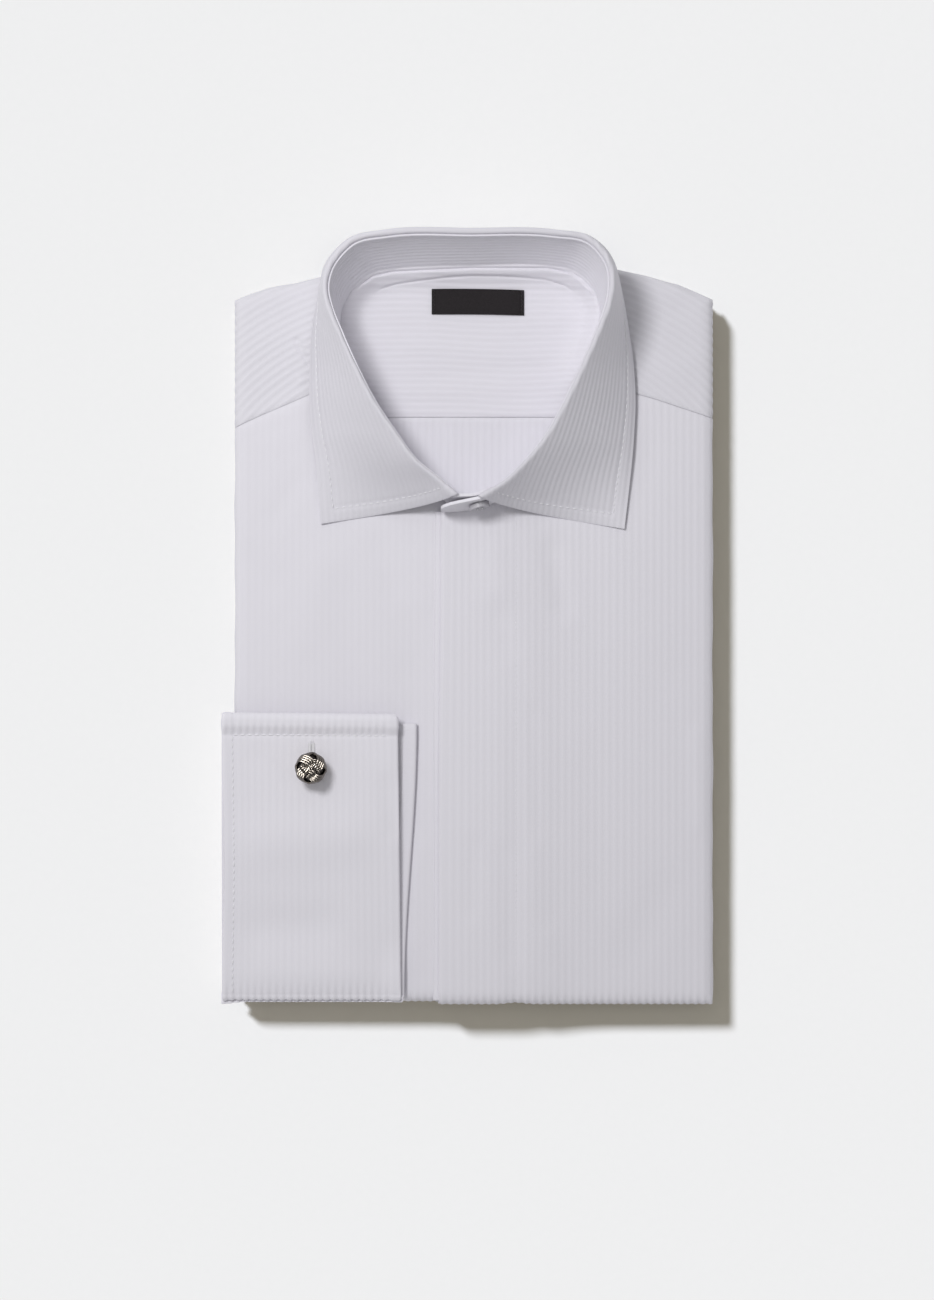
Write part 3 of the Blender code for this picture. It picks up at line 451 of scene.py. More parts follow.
# The silver is painted dark, a painted reflection of a dark room, so that the knot's own lamps give bright
# glints on it.
knot_silver = silver_wire("knot_silver", (0.22, 0.2, 0.175), (0.1, 0.088, 0.078), 0.13)
core_painted_shadow = silver_wire("knot_shadow", (0.06, 0.05, 0.045), (0.02, 0.018, 0.016), 0.5)
print("finishes:", [m.name for m in (pile_cotton, tape, button_pearl_painted_grey, white_thread, knot_silver)])

# %% [markdown]
# ## How a sheet is laid
# A sheet starts as a grid primitive. Its points are laid on the pile from a table of places, the
# relief of the weave is added along the surface's own normal, and Solidify gives the cloth its
# thickness. A narrow Bevel then takes the hard look off the cut edges.

# %% Lay a sheet of cloth
def pick(*pieces):
    """Selects these pieces alone, and makes the first one active."""
    bpy.ops.object.select_all(action="DESELECT")
    for piece in pieces:
        piece.select_set(True)
    if pieces:
        bpy.context.view_layer.objects.active = pieces[0]


def edit(piece, tool, select="SELECT", **settings):
    """Uses a mesh tool on a whole piece, or on the faces already chosen."""
    pick(piece)
    bpy.ops.object.mode_set(mode="EDIT")
    if select:
        bpy.ops.mesh.select_all(action=select)
    tool(**settings)
    bpy.ops.object.mode_set(mode="OBJECT")


def face_outward(piece):
    edit(piece, bpy.ops.mesh.normals_make_consistent, inside=False)


def normals_of(places):
    """Unit normals of a grid of places; columns first, then rows."""
    normal = np.cross(np.gradient(places, axis=0), np.gradient(places, axis=1))
    return normal / np.maximum(np.linalg.norm(normal, axis=2, keepdims=True), 1e-9)


def lay_sheet(
    name, places, weave, material, relief=None, wall=CLOTH, centred=False, open_cells=None, edge=0.18
):
    """A cloth sheet through a grid of places (columns, rows, xyz), with its weave coordinates."""
    columns, rows = places.shape[0] - 1, places.shape[1] - 1
    if relief is not None:
        places = places + normals_of(places) * relief[:, :, None]
    pick()
    bpy.ops.mesh.primitive_grid_add(x_subdivisions=columns, y_subdivisions=rows, size=1)
    piece = bpy.context.object
    piece.name, mesh = name, piece.data
    flat = np.empty(len(mesh.vertices) * 3)
    mesh.vertices.foreach_get("co", flat)
    i, j = [np.rint((flat[k::3] + 0.5) * count).astype(int) for k, count in enumerate((columns, rows))]
    mesh.vertices.foreach_set("co", (places[i, j] * MM).ravel())
    corners = np.empty(len(mesh.loops), int)
    mesh.loops.foreach_get("vertex_index", corners)
    mesh.uv_layers[0].name = "weave"
    mesh.uv_layers[0].data.foreach_set("uv", weave[i[corners], j[corners]].ravel())
    if open_cells is not None:
        for face in mesh.polygons:
            low = min(face.vertices, key=lambda k: (i[k], j[k]))
            face.select = bool(open_cells[i[low], j[low]])
        edit(piece, bpy.ops.mesh.delete, select=None, type="FACE")
    mesh.update()
    solid = piece.modifiers.new("wall", "SOLIDIFY")
    solid.thickness = wall * MM
    solid.offset = 0 if centred else -1
    solid.use_quality_normals = True
    soft = piece.modifiers.new("soft edge", "BEVEL")
    soft.width = edge * MM
    soft.segments = 2
    soft.limit_method = "ANGLE"
    soft.angle_limit = math.radians(62)
    pick(piece)
    for modifier in (solid, soft):
        bpy.ops.object.modifier_apply(modifier=modifier.name)
    mesh.shade_smooth()
    mesh.materials.append(material)
    return piece, places


bpy.context.scene.tool_settings.mesh_select_mode = (False, False, True)
ROLL = smooth_rows([(a, b, 0) for a, b in ROLLED_EDGE], 3)[:, :2]
ROLL_INSET, ROLL_RISE, ROLL_REACH = ROLL[:-1, 0], ROLL[:-1, 1], ROLL[-1, 0]
print("points round a rolled edge:", len(ROLL))

# %% [markdown]
# ## The two fronts
# The wearer's left front lies on top, with a folded edge down the middle and a strip behind it
# that hides the buttons. Both fronts turn round the side and the bottom of the pile in a soft
# roll. At the bottom fold the satin stripes stand up as small teeth, because the cloth is
# stretched over the bend there.

# %% Fronts
LEFT_SEAM_END, RIGHT_SEAM_END = YOKE_SEAM_LEFT[-1][0], YOKE_SEAM_RIGHT[0][0]  # where the neck begins
FRONT_PITCH, HIDDEN_PITCH, ALONG_PITCH = 0.5, 4, 2.6  # across the stripes, where hidden, along them
NO_SEAM = 99  # so far off that it adds nothing


def rolled_sides(low, high, pitch, low_rolled, high_rolled):
    """Positions from low to high, with how far each has risen round a rolled side."""
    flat = steps(low + ROLL_REACH * low_rolled, high - ROLL_REACH * high_rolled, pitch)
    first, last = len(ROLL_RISE) * low_rolled, len(ROLL_RISE) * high_rolled
    spots = np.concatenate([low + ROLL_INSET[:first], flat, high - ROLL_INSET[:last][::-1]])
    return spots, np.concatenate([ROLL_RISE[:first], np.ones(len(flat)), ROLL_RISE[:last][::-1]])


def both_rises(across, along):
    """The rise where two rolled edges meet at a corner."""
    return np.clip(1 - np.hypot(1 - across[:, None], 1 - along), 0, 1)


def front_grid(spots, rises, hem, tops, pitch):
    """Places of a front, from its hem to its upper edge, and its rise round all its edges."""
    start = hem + ROLL_REACH
    share = np.linspace(0, 1, round((60 - start) / pitch) + 1)
    hem_y = np.repeat((hem + ROLL_INSET)[None], len(spots), axis=0)
    y = np.concatenate([hem_y, start + (tops[:, None] - start) * share], axis=1)
    rise = both_rises(rises, np.concatenate([ROLL_RISE, np.ones(len(share))]))
    return np.repeat(spots[:, None], y.shape[1], axis=1), y, rise


def upper_edge(x, beyond, seam, neck, highest):
    """Upper edge of a front: the yoke seam, and beside it the neck."""
    neck_y = read_line([(px, py + 0.7) for px, py in reversed(neck)], x)
    return np.where(beyond, read_line(seam, x) - 0.12, np.minimum(neck_y, highest))


def stripe_relief(x, from_hem, flat=0.012, fold=0.2):
    """Ribs of the satin stripes: low on the flat, and like teeth round the bottom fold."""
    return (flat + (fold - flat) * (1 - smooth(from_hem, 0.4, 7))) * stripes(x)


def seam_dip(distance):
    """A seam: the cloth dips at the line and swells softly beside it."""
    return -0.45 * bump(distance, 0.7) + 0.22 * bump(distance - 2.4, 1.5)


def make_front_right():
    spots, rises = rolled_sides(LEFT_SIDE, -12, FRONT_PITCH, True, False)
    hidden = steps(-12, UNDERLAP_END, HIDDEN_PITCH)[1:]
    spots, rises = np.concatenate([spots, hidden]), np.concatenate([rises, np.ones(len(hidden))])
    tops = upper_edge(spots, spots < LEFT_SEAM_END, YOKE_SEAM_LEFT, NECK_UNDER[:9], 111.9)
    x, y, rise = front_grid(spots, rises, HEM_UNDER, tops, ALONG_PITCH)
    # The cloth lifts a little towards the folded edge that lies on it.
    lift = 0.55 * smooth(x, -26, -14.5) * (1 - smooth(x, -14.5, -10))
    z = turned_under(under_top(x, y) + creased(CREASES_UNDER, x, y) * rise + lift, rise)
    seam = np.where(x < LEFT_SEAM_END, read_line(YOKE_SEAM_LEFT, x) - y, NO_SEAM)
    waver = 0.18 * np.sin(y * 0.21) + 0.12 * np.sin(y * 0.083 + 1)
    relief = stripe_relief(x, y - HEM_UNDER, 0.003) + seam_dip(seam) * rise
    places = grid_of(x + waver * (1 - rises[:, None]), y, z)
    return lay_sheet("front_right_cloth", places, grid_of(x, y), cotton["shaded"], relief)[0]


def make_front_left():
    spots, rises = rolled_sides(PLACKET_EDGE, RIGHT_SIDE, FRONT_PITCH, False, True)
    tops = upper_edge(spots, spots > RIGHT_SEAM_END, YOKE_SEAM_RIGHT, NECK_OVER[7:], 113.1)
    x, y, rise = front_grid(spots, rises, HEM_OVER, tops, ALONG_PITCH)
    z = turned_under(over_top(x, y) + creased(CREASES_OVER, x, y) * rise, rise)
    # The folded edge of the front rolls down to the strip under it.
    z -= 1.1 * rolled_down(x - PLACKET_EDGE, 2.2)
    stitch = np.abs(x - PLACKET_STITCH - 0.25 * np.sin(y * 0.05))
    deep = 0.16 + 0.55 * smooth(-y, 0, 90)
    trough = -deep * bump(stitch, 5) * (1 - smooth(y, 30, 50))
    edge_line = -0.12 * bump(x - PLACKET_EDGE - 2.6, 0.6)
    seam = np.where(x > RIGHT_SEAM_END, read_line(YOKE_SEAM_RIGHT, x) - y, NO_SEAM)
    waver = 0.18 * np.sin(y * 0.19 + 2) + 0.14 * np.sin(y * 0.071)
    near_edge = 1 - smooth(x, PLACKET_EDGE, PLACKET_EDGE + 14)
    edge_waver = (0.25 * np.sin(y * 0.031 + 0.6) - 1.2 * smooth(-y, -30, 160)) * near_edge
    relief = stripe_relief(x, y - HEM_OVER) + seam_dip(seam) * rise + trough + edge_line
    places = grid_of(x + waver * (1 - rises[:, None]) + edge_waver, y, z)
    return lay_sheet("front_left_cloth", places, grid_of(x, y), cotton["body"], relief)


front_right = make_front_right()
front_left, front_left_places = make_front_left()
print("front faces:", len(front_right.data.polygons), len(front_left.data.polygons))

# %% [markdown]
# The strip behind the folded edge shows as a thin bright line beside it. The back lies under
# both fronts and shows inside the neck, below the yoke.

# %% Button strip and back
def make_fly_strip():
    spots = join_steps(steps(FLY_EDGE, -10, 0.5), steps(-10, 19, 4))
    x, y = np.meshgrid(spots, steps(-175, 49.5, 3), indexing="ij")
    z = under_top(x, y) + LAYER - 0.9 * rolled_down(x - FLY_EDGE, 1.8)
    waver = (0.25 * np.sin(y * 0.037) - 0.6 * smooth(-y, -30, 160)) * (1 - smooth(x, FLY_EDGE, -8))
    return lay_sheet("fly_strip_cloth", grid_of(x + waver, y, z), grid_of(x, y), cotton["body"])[0]


def make_back():
    rows = join_steps(steps(-166, 40, 8), steps(40, BACK_SEAM - 0.1, 0.9))
    spots = join_steps(steps(-98, -50, 8), steps(-50, 52, 0.6), steps(52, 104, 8))
    x, y = np.meshgrid(spots, rows, indexing="ij")
    z = stack_top(x, y) + LAYER
    z = z + seam_dip(BACK_SEAM - y) + 0.25 * bump(x + 6 + (y - 80) * 0.2, 4) * smooth(y, 58, 72)
    z -= 0.3 * bump(x - 16, 6) * smooth(y, 50, 70)
    return lay_sheet("back_cloth", grid_of(x, y, z), grid_of(x, y), cotton["back"], 0.006 * stripes(x))[0]


fly_strip = make_fly_strip()
back = make_back()
print("strip and back:", len(fly_strip.data.polygons), len(back.data.polygons))

# %% [markdown]
# ## The yoke
# A yoke is two layers over the shoulders. The outer one folds over the shoulder line and ends
# at a slanting seam on each front, and its stripes run on a slant there because the yoke was cut
# across the back. The inner one shows inside the neck, with its stripes level.

# %% Outer yoke
NECK_LEFT_SIDE, NECK_RIGHT_SIDE = NECK_UNDER[6:12], NECK_OVER[8:3:-1]
YOKE_NECK, YOKE_TURN = (-60, 62.5), 7
STRIPE_CENTRES = ((-25, 25), (31, 25))  # the slanting stripes bend round these points
PUCKERS = (
    # x, y, depth: where the left yoke is eased in beside the collar
    (-78, 128, 0.7), (-76.4, 124.6, 0.9), (-74.6, 121.2, 1), (-73, 118, 0.8), (-76.5, 110, -0.5),
)


def slanting_weave(x, y):
    """Weave coordinates of the yoke: round one point on the left, another on the right."""
    left, right = [
        grid_of(np.hypot(x - cx, y - cy), np.arctan2(y - cy, x - cx) * 110) for cx, cy in STRIPE_CENTRES
    ]
    return np.where((x < 3)[..., None], left, right)


def make_outer_yoke():
    neck_left, neck_right = YOKE_NECK
    left = steps(LEFT_SIDE + ROLL_REACH, neck_left, 0.7)
    middle = steps(neck_left, neck_right, 2.4)[1:]
    right = steps(neck_right, RIGHT_SIDE - ROLL_REACH, 0.7)[1:]
    spots = np.concatenate([LEFT_SIDE + ROLL_INSET, left, middle, right, RIGHT_SIDE - ROLL_INSET[::-1]])
    turned = len(ROLL_RISE)
    rises = np.concatenate([ROLL_RISE, np.ones(len(spots) - 2 * turned), ROLL_RISE[::-1]])
    last_left = turned + len(left) - 1
    first_right = last_left + len(middle)
    index = np.arange(len(spots))
    notch = (index > last_left) & (index < first_right)
    at_neck = (index >= last_left) & (index <= first_right)
    on_left = spots <= neck_left
    left_side = [(y, x - 0.3) for x, y in NECK_LEFT_SIDE]
    right_side = [(y, x + 0.3) for x, y in NECK_RIGHT_SIDE]
    back_line = [(x, y + 0.3) for x, y in NECK_LINE[9:22]]
    fold = read_line(SHOULDER_LINE, spots)
    tight = np.minimum(1, (fold - read_line(back_line, spots)) / YOKE_TURN)
    # Rows round the shoulder fold, then down to the neck, then on to the front seams.
    rows = [(spots, fold - inset * np.where(at_neck, tight, 1)) for inset in ROLL_INSET]
    start = fold - ROLL_REACH * np.where(notch, tight, 1)
    neck_row = np.where(notch, read_line(back_line, spots), fold - 14)
    rows += [(spots, start + (neck_row - start) * share) for share in np.linspace(0, 1, 12)[:-1]]
    far = np.where(on_left, LEFT_SIDE + ROLL_REACH, RIGHT_SIDE - ROLL_REACH)
    neck = np.where(on_left, neck_left, neck_right)
    inside = np.where(np.abs(spots) > np.abs(far), 0, 1)
    notch_row = len(rows)
    for share in np.linspace(0, 1, 74):
        led = spots
        for _ in range(5):
            seam = np.where(on_left, read_line(YOKE_SEAM_LEFT, led), read_line(YOKE_SEAM_RIGHT, led))
            y = neck_row + (seam - neck_row) * share
            side_x = np.where(on_left, read_line(left_side, y), read_line(right_side, y))
            pull = smooth(np.abs(spots - far) / np.abs(neck - far), 0, 1)
            led = spots + (side_x - neck) * pull * inside
        rows.append((led, y))
    x, y = np.array(rows).transpose(1, 2, 0)
    rise = both_rises(rises, np.concatenate([ROLL_RISE, np.ones(len(rows) - turned)]))
    weave = slanting_weave(x, y)
    z = under_top(x, y) + creased(CREASES_YOKE, x, y) * rise
    for px, py, depth in PUCKERS:
        z -= depth * bump(np.hypot((x - px) * 0.8 + (y - py) * 0.4, (y - py) * 0.9 - (x - px) * 0.3), 1.5)
    z = turned_under(z, rise)
    seam = y - np.where(x < 3, read_line(YOKE_SEAM_LEFT, x), read_line(YOKE_SEAM_RIGHT, x))
    relief = seam_dip(seam) * 0.6 * rise
    relief += (0.06 + 0.08 * (1 - rise)) * stripes(weave[..., 0])
    cells = np.zeros((len(spots) - 1, x.shape[1] - 1), bool)
    cells[last_left:first_right, notch_row:] = True
    # The rows were made from the fold down, so they are turned round to face the sheet outward.
    places, weave, relief, cells = [table[:, ::-1] for table in (grid_of(x, y, z), weave, relief, cells)]
    return lay_sheet("outer_yoke_cloth", places, weave, cotton["yoke"], relief, open_cells=cells)


outer_yoke, outer_yoke_places = make_outer_yoke()
print("outer yoke faces:", len(outer_yoke.data.polygons))

# %% Inner yoke
CREASES_INSIDE = (
    # x, y, to x, to y, width, height
    (-30, 126, 36, 121, 4, 0.3),
    (-20, 112, 40, 117, 3.5, -0.28),
    (-34, 104, 20, 106, 3.5, 0.24),
    (20, 136, 50, 140, 5, 0.3),
    (-44, 140, -24, 132, 6, -0.25),
)


def inner_yoke_top(x, y):
    """Up to the neck seam, with the narrow shelf that the seam's turnings make at the back."""
    distance = neck_distance(x, y)
    curl = bump(distance, 6) * smooth(y, 100, 125)
    edge = 4.3 + 0.0016 * (x - 4) ** 2
    at_back = smooth(y, 150.5, 154.5)
    shelf = (1 - smooth(distance, edge - 0.3, edge + 0.5)) * at_back
    dip = bump(distance - edge - 0.55, 0.5) * at_back
    groove = bump(distance - 1.5, 0.55) * at_back
    z = stack_top(x, y) + LAYER + (LAYER + 5) * curl + 0.9 * shelf - 0.5 * dip - 1.3 * groove
    return z + creased(CREASES_INSIDE, x, y)


def make_inner_yoke():
    reach = join_steps(steps(0, 0.84, 0.0125), steps(0.84, 1, 0.005))
    arch = NECK_LINE[NECK_LINE[:, 1] > BACK_SEAM + 4]
    run = along_line(arch)
    share = np.linspace(0, 1, 191)
    low = np.stack([-40.5 + 82.5 * share, np.full(len(share), BACK_SEAM)], 1)
    high = np.stack([np.interp(share * run[-1], run, arch[:, k]) for k in (0, 1)], 1)
    fan = high - low
    fan *= (1 + 0.3 / np.linalg.norm(fan, axis=1))[:, None]
    x, y = (low[:, None] + fan[:, None] * reach[None, :, None]).transpose(2, 0, 1)
    across = y + 0.7 * np.sin(x * 0.045 + 0.4) + 0.35 * np.sin(x * 0.11 + y * 0.05)
    relief = 0.02 * stripes(across, YOKE_STRIPE) + seam_dip(y - BACK_SEAM) * 0.5
    places = grid_of(x, y, inner_yoke_top(x, y))
    return lay_sheet("inner_yoke_cloth", places, grid_of(across, x), cotton["inside"], relief)[0]


inner_yoke = make_inner_yoke()
print("inner yoke faces:", len(inner_yoke.data.polygons))

# %% [markdown]
# ## The collar
# The stand is a stiff band round the neck, with a rounded tab at each end. The right end lies
# underneath, and the left end comes over it with the button. The leaf is sewn to the stand's
# top and rolls over it.

# %% Collar stand
def foot_height(row, under):
    return float((under_top if under else over_top)(row[3], row[4]))


def leaf_aim(row):
    aim = np.array([row[5] - row[3], row[6] - row[4], 0])
    return aim / np.linalg.norm(aim)


def make_stand():
    sections = smooth_rows(COLLAR_SECTIONS, 6)
    under_end = smooth_rows(UNDER_TAB + (COLLAR_SECTIONS[0][:5],), 8)[:-1]
    over_end = smooth_rows((COLLAR_SECTIONS[-1][:5],) + OVER_TAB, 20)[1:]
    tops, feet, aims = [], [], []
    for kind, rows in (("under", under_end), ("round", sections), ("over", over_end)):
        for k, row in enumerate(rows):
            # Only the front that laps over lifts the foot; round the back it lies on the yoke.
            under = kind == "under" or (kind == "round" and (k < len(sections) // 2 or row[4] > 140))
            aim = leaf_aim(row) if kind == "round" else np.zeros(3)
            tops.append(row[:3] - aim * ROLL_RADIUS)
            feet.append(np.array([row[3], row[4], foot_height(row, under) + 0.25]))
            aims.append(aim)
    tops, feet, aims = np.array(tops), np.array(feet), np.array(aims)
    down = feet - tops
    down /= np.linalg.norm(down, axis=1, keepdims=True)
    tops = tops + down * (STAND_SEAM_DROP + 0.15)
    run = along_line(tops)
    # Both ends are rounded off: the top comes down, and the foot comes up a little.
    end = np.minimum(run, run[-1] - run)
    cut = 0.5 * (1 - np.sqrt(1 - 0.98 * np.clip(1 - end / 9, 0, 1) ** 2))
    lows = feet + (tops - feet) * (cut * 0.5)[:, None]
    highs = tops + (feet - tops) * cut[:, None]
    share = np.linspace(0, 1, 49)
    places = lows[:, None] + (highs - lows)[:, None] * share[None, :, None]
    places += aims[:, None] * (STAND_BOW * np.sin(math.pi * share))[None, :, None]
    height = np.linalg.norm(places - lows[:, None], axis=2)
    total = height[:, -1:]
    border = np.minimum(total - height, np.minimum(height, end[:, None] + 1.5))
    relief = 0.028 * stripes(height, COLLAR_STRIPE) - 0.08 * bump(border - 2.2, 0.45)
    # The seam with the leaf stands out inside as a narrow cord.
    first, last = run[len(under_end)], run[-len(over_end)]
    sewn = smooth(run, first, first + 6) * (1 - smooth(run, last - 10, last - 4))
    relief += 0.55 * bump(total - height - 0.5, 0.6) * sewn[:, None]
    weave = grid_of(height, run[:, None])
    return lay_sheet("stand_cloth", places, weave, cotton["stand"], relief, STAND_WALL, True, edge=0.3)[0]


stand = make_stand()
print("stand faces:", len(stand.data.polygons))

# %% [markdown]
# The leaf's section is worked out once and used all the way round: a short end inside, the roll
# over the stand, and a curve that leaves the roll smoothly and comes down to the shirt. The
# edge is thicker outside its row of stitches, where the turnings lie inside.

# %% Collar leaf
LEAF_BAND = 6  # from the edge to the stitching
LEAF_SINK, FRONT_BOW = 10, 1.1
ROLL_POINTS, LEAF_POINTS = 12, 78
LEAF_START = ROLL_POINTS + 1  # the first point below the roll


def leaf_section(row, under):
    aim, up = leaf_aim(row), np.array([0, 0, 1])
    crest, edge = np.array(row[:3]), np.array(row[5:8])
    if edge[1] < read_line(SHOULDER_LINE, edge[0]):
        edge[2] = max(edge[2], foot_height(row[2:7], under) + 0.9)
    centre = crest - up * ROLL_RADIUS
    inner = centre - aim * ROLL_RADIUS
    foot = np.array([row[3], row[4], foot_height(row, under)])
    down = (foot - inner) / np.linalg.norm(foot - inner)
    points = [inner + down * (STAND_SEAM_DROP - ROLL_RADIUS)]
    roundness = math.radians(row[8])
    start = math.atan2(crest[2] - edge[2], float((edge - crest) @ aim)) - roundness
    for k in range(ROLL_POINTS):
        angle = math.pi - (math.pi / 2 + start) * k / (ROLL_POINTS - 1)
        points.append(centre + (aim * math.cos(angle) + up * math.sin(angle)) * ROLL_RADIUS)
    leave = points[-1]
    chord = edge - leave
    reach = np.linalg.norm(chord) / (2 * math.cos(roundness))
    sideways = chord * [1, 1, 0] - aim * float(chord @ aim)
    middle = leave + (aim * math.cos(start) - up * math.sin(start)) * reach + sideways / 2
    t = np.linspace(0, 1, LEAF_POINTS + 1)[1:, None]
    curve = leave * (1 - t) ** 2 + middle * 2 * t * (1 - t) + edge * t * t
    return np.concatenate([np.array(points), curve])


def make_leaf():
    rows = smooth_rows(COLLAR_SECTIONS, 8)
    places = np.array([leaf_section(row, k < len(rows) // 2) for k, row in enumerate(rows)])
    # Towards its two front edges the leaf sinks between the roll and the edge.
    to_front = along_line(places[:, 40])
    to_front = np.minimum(to_front, to_front[-1] - to_front)[:, None]
    down = np.clip((np.arange(places.shape[1]) - LEAF_START) / (LEAF_POINTS - 1), 0, 1)
    near_front = np.clip(1 - to_front / 38, 0, 1) ** 1.3
    places[..., 2] -= LEAF_SINK * near_front * np.sin(math.pi * down**0.75)
    places[..., 1] -= FRONT_BOW * near_front * np.sin(math.pi * down**0.6)
    from_seam = np.array([along_line(line) for line in places])
    from_edge = from_seam[:, -1:] - from_seam
    along = np.array([along_line(line) for line in places.transpose(1, 0, 2)]).T
    border = np.minimum(from_edge, np.minimum(along, along[-1:] - along))
    x, y = places[..., 0], places[..., 1]
    relief = 0.026 * stripes(from_edge, COLLAR_STRIPE)
    relief += 0.3 * (1 - smooth(border, LEAF_BAND - 1, LEAF_BAND + 0.4))
    relief -= 0.34 * bump(border - LEAF_BAND, 0.6)
    # A shallow hollow near the top of the left side, and a soft swelling on the right.
    relief -= 0.5 * bump(np.hypot(x + 58, (y - 118) / 2.4), 6)
    relief += 0.3 * bump(np.hypot(x - 62, y - 80), 12)
    weave = grid_of(from_edge, along)
    return lay_sheet("leaf_cloth", places, weave, cotton["leaf"], relief, COLLAR_WALL, True, edge=0.28)


leaf, leaf_places = make_leaf()
print("leaf faces:", len(leaf.data.polygons))

# %% [markdown]
# ## The double cuff
# A double cuff is twice as long as a plain one and is turned back on itself, so four layers lie
# on each other when it is closed flat. The cufflink goes through a buttonhole in each of them.
# The grid runs across the band and back inside it, and along the band round the loop.

# %% Cuff
CUFF_PLY, CUFF_INNER, CUFF_OUTER = 0.8, 0.9, 2.4  # wall, and how far each layer lies from the middle
CUFF_FREE_EDGE, CUFF_LOW_FREE_EDGE, CUFF_SEAM = -113, -104.5, -107.5
CUFF_TOP, CUFF_LOW_TOP, CUFF_LOOP = -43.8, -47.8, -175.2
CUFF_FOLD, CUFF_PEEK, CUFF_LIFT = (-30.2, -31.6), (1.5, 8.5), (0.2, 2.9)
CUFF_FLAT_END, CUFF_TURN, CUFF_GRID_SIDE = -160, 12, -34
LINK = (-71.2, -67.9)
HOLE_X, HOLE_Y = (LINK[0] - 0.9, LINK[0] + 0.9), (LINK[1] - 5, LINK[1] + 11)
CREASES_CUFF = (
    # x, y, to x, to y, width, height
    (-106, -103, -44, -98, 13, 1.6),
    (-104, -142, -60, -140, 10, -1.1),
    (-100, -164, -46, -164, 10, 0.8),
    (-36, -72, -33, -100, 5, -0.6),
    (-98, -60, -80, -76, 5, -0.4),
    (-56, -118, -44, -150, 10, 0.35),
)


def between(pair, share):
    return pair[0] + (pair[1] - pair[0]) * share


def cuff_middle(x, y):
    return under_top(np.maximum(x, -100), y) + 0.3 + between(CUFF_LIFT, smooth(y, CUFF_LOOP, LINK[1])) + 2.9


def cuff_lines():
    """The cuff's grid before it is folded: across its two layers, and along them round the loop."""
    out_x = join_steps(
        steps(CUFF_FREE_EDGE, CUFF_FREE_EDGE + 2, 0.25), steps(CUFF_FREE_EDGE + 2, HOLE_X[0], 0.5),
        steps(*HOLE_X, 0.6), steps(HOLE_X[1], CUFF_GRID_SIDE, 0.5),
    )
    in_x = join_steps(
        steps(-40, HOLE_X[1], 4), steps(HOLE_X[1], HOLE_X[0], 2), steps(HOLE_X[0], CUFF_SEAM, 5),
    )
    upper = join_steps(
        steps(CUFF_TOP, CUFF_TOP - 3, 0.3), steps(CUFF_TOP - 3, HOLE_Y[1], 0.8),
        steps(HOLE_Y[1], HOLE_Y[0], 1.6), steps(HOLE_Y[0], CUFF_FLAT_END, 2.6),
    )
    lower = join_steps(
        steps(CUFF_FLAT_END, HOLE_Y[0], 8), steps(*HOLE_Y, 8), steps(HOLE_Y[1], CUFF_LOW_TOP, 3),
    )
    loop, loop_y = np.linspace(0, math.pi, 37), CUFF_LOOP + CUFF_OUTER + CUFF_PLY / 2
    flat = steps(CUFF_FLAT_END, loop_y, 0.9)[1:-1]
    y_line = np.concatenate([upper, flat, np.full(len(loop), loop_y), flat[::-1], lower])
    angle = np.concatenate([np.zeros(len(upper) + len(flat)), loop, np.full(len(flat) + len(lower), math.pi)])
    return out_x, in_x, y_line, angle, len(upper)


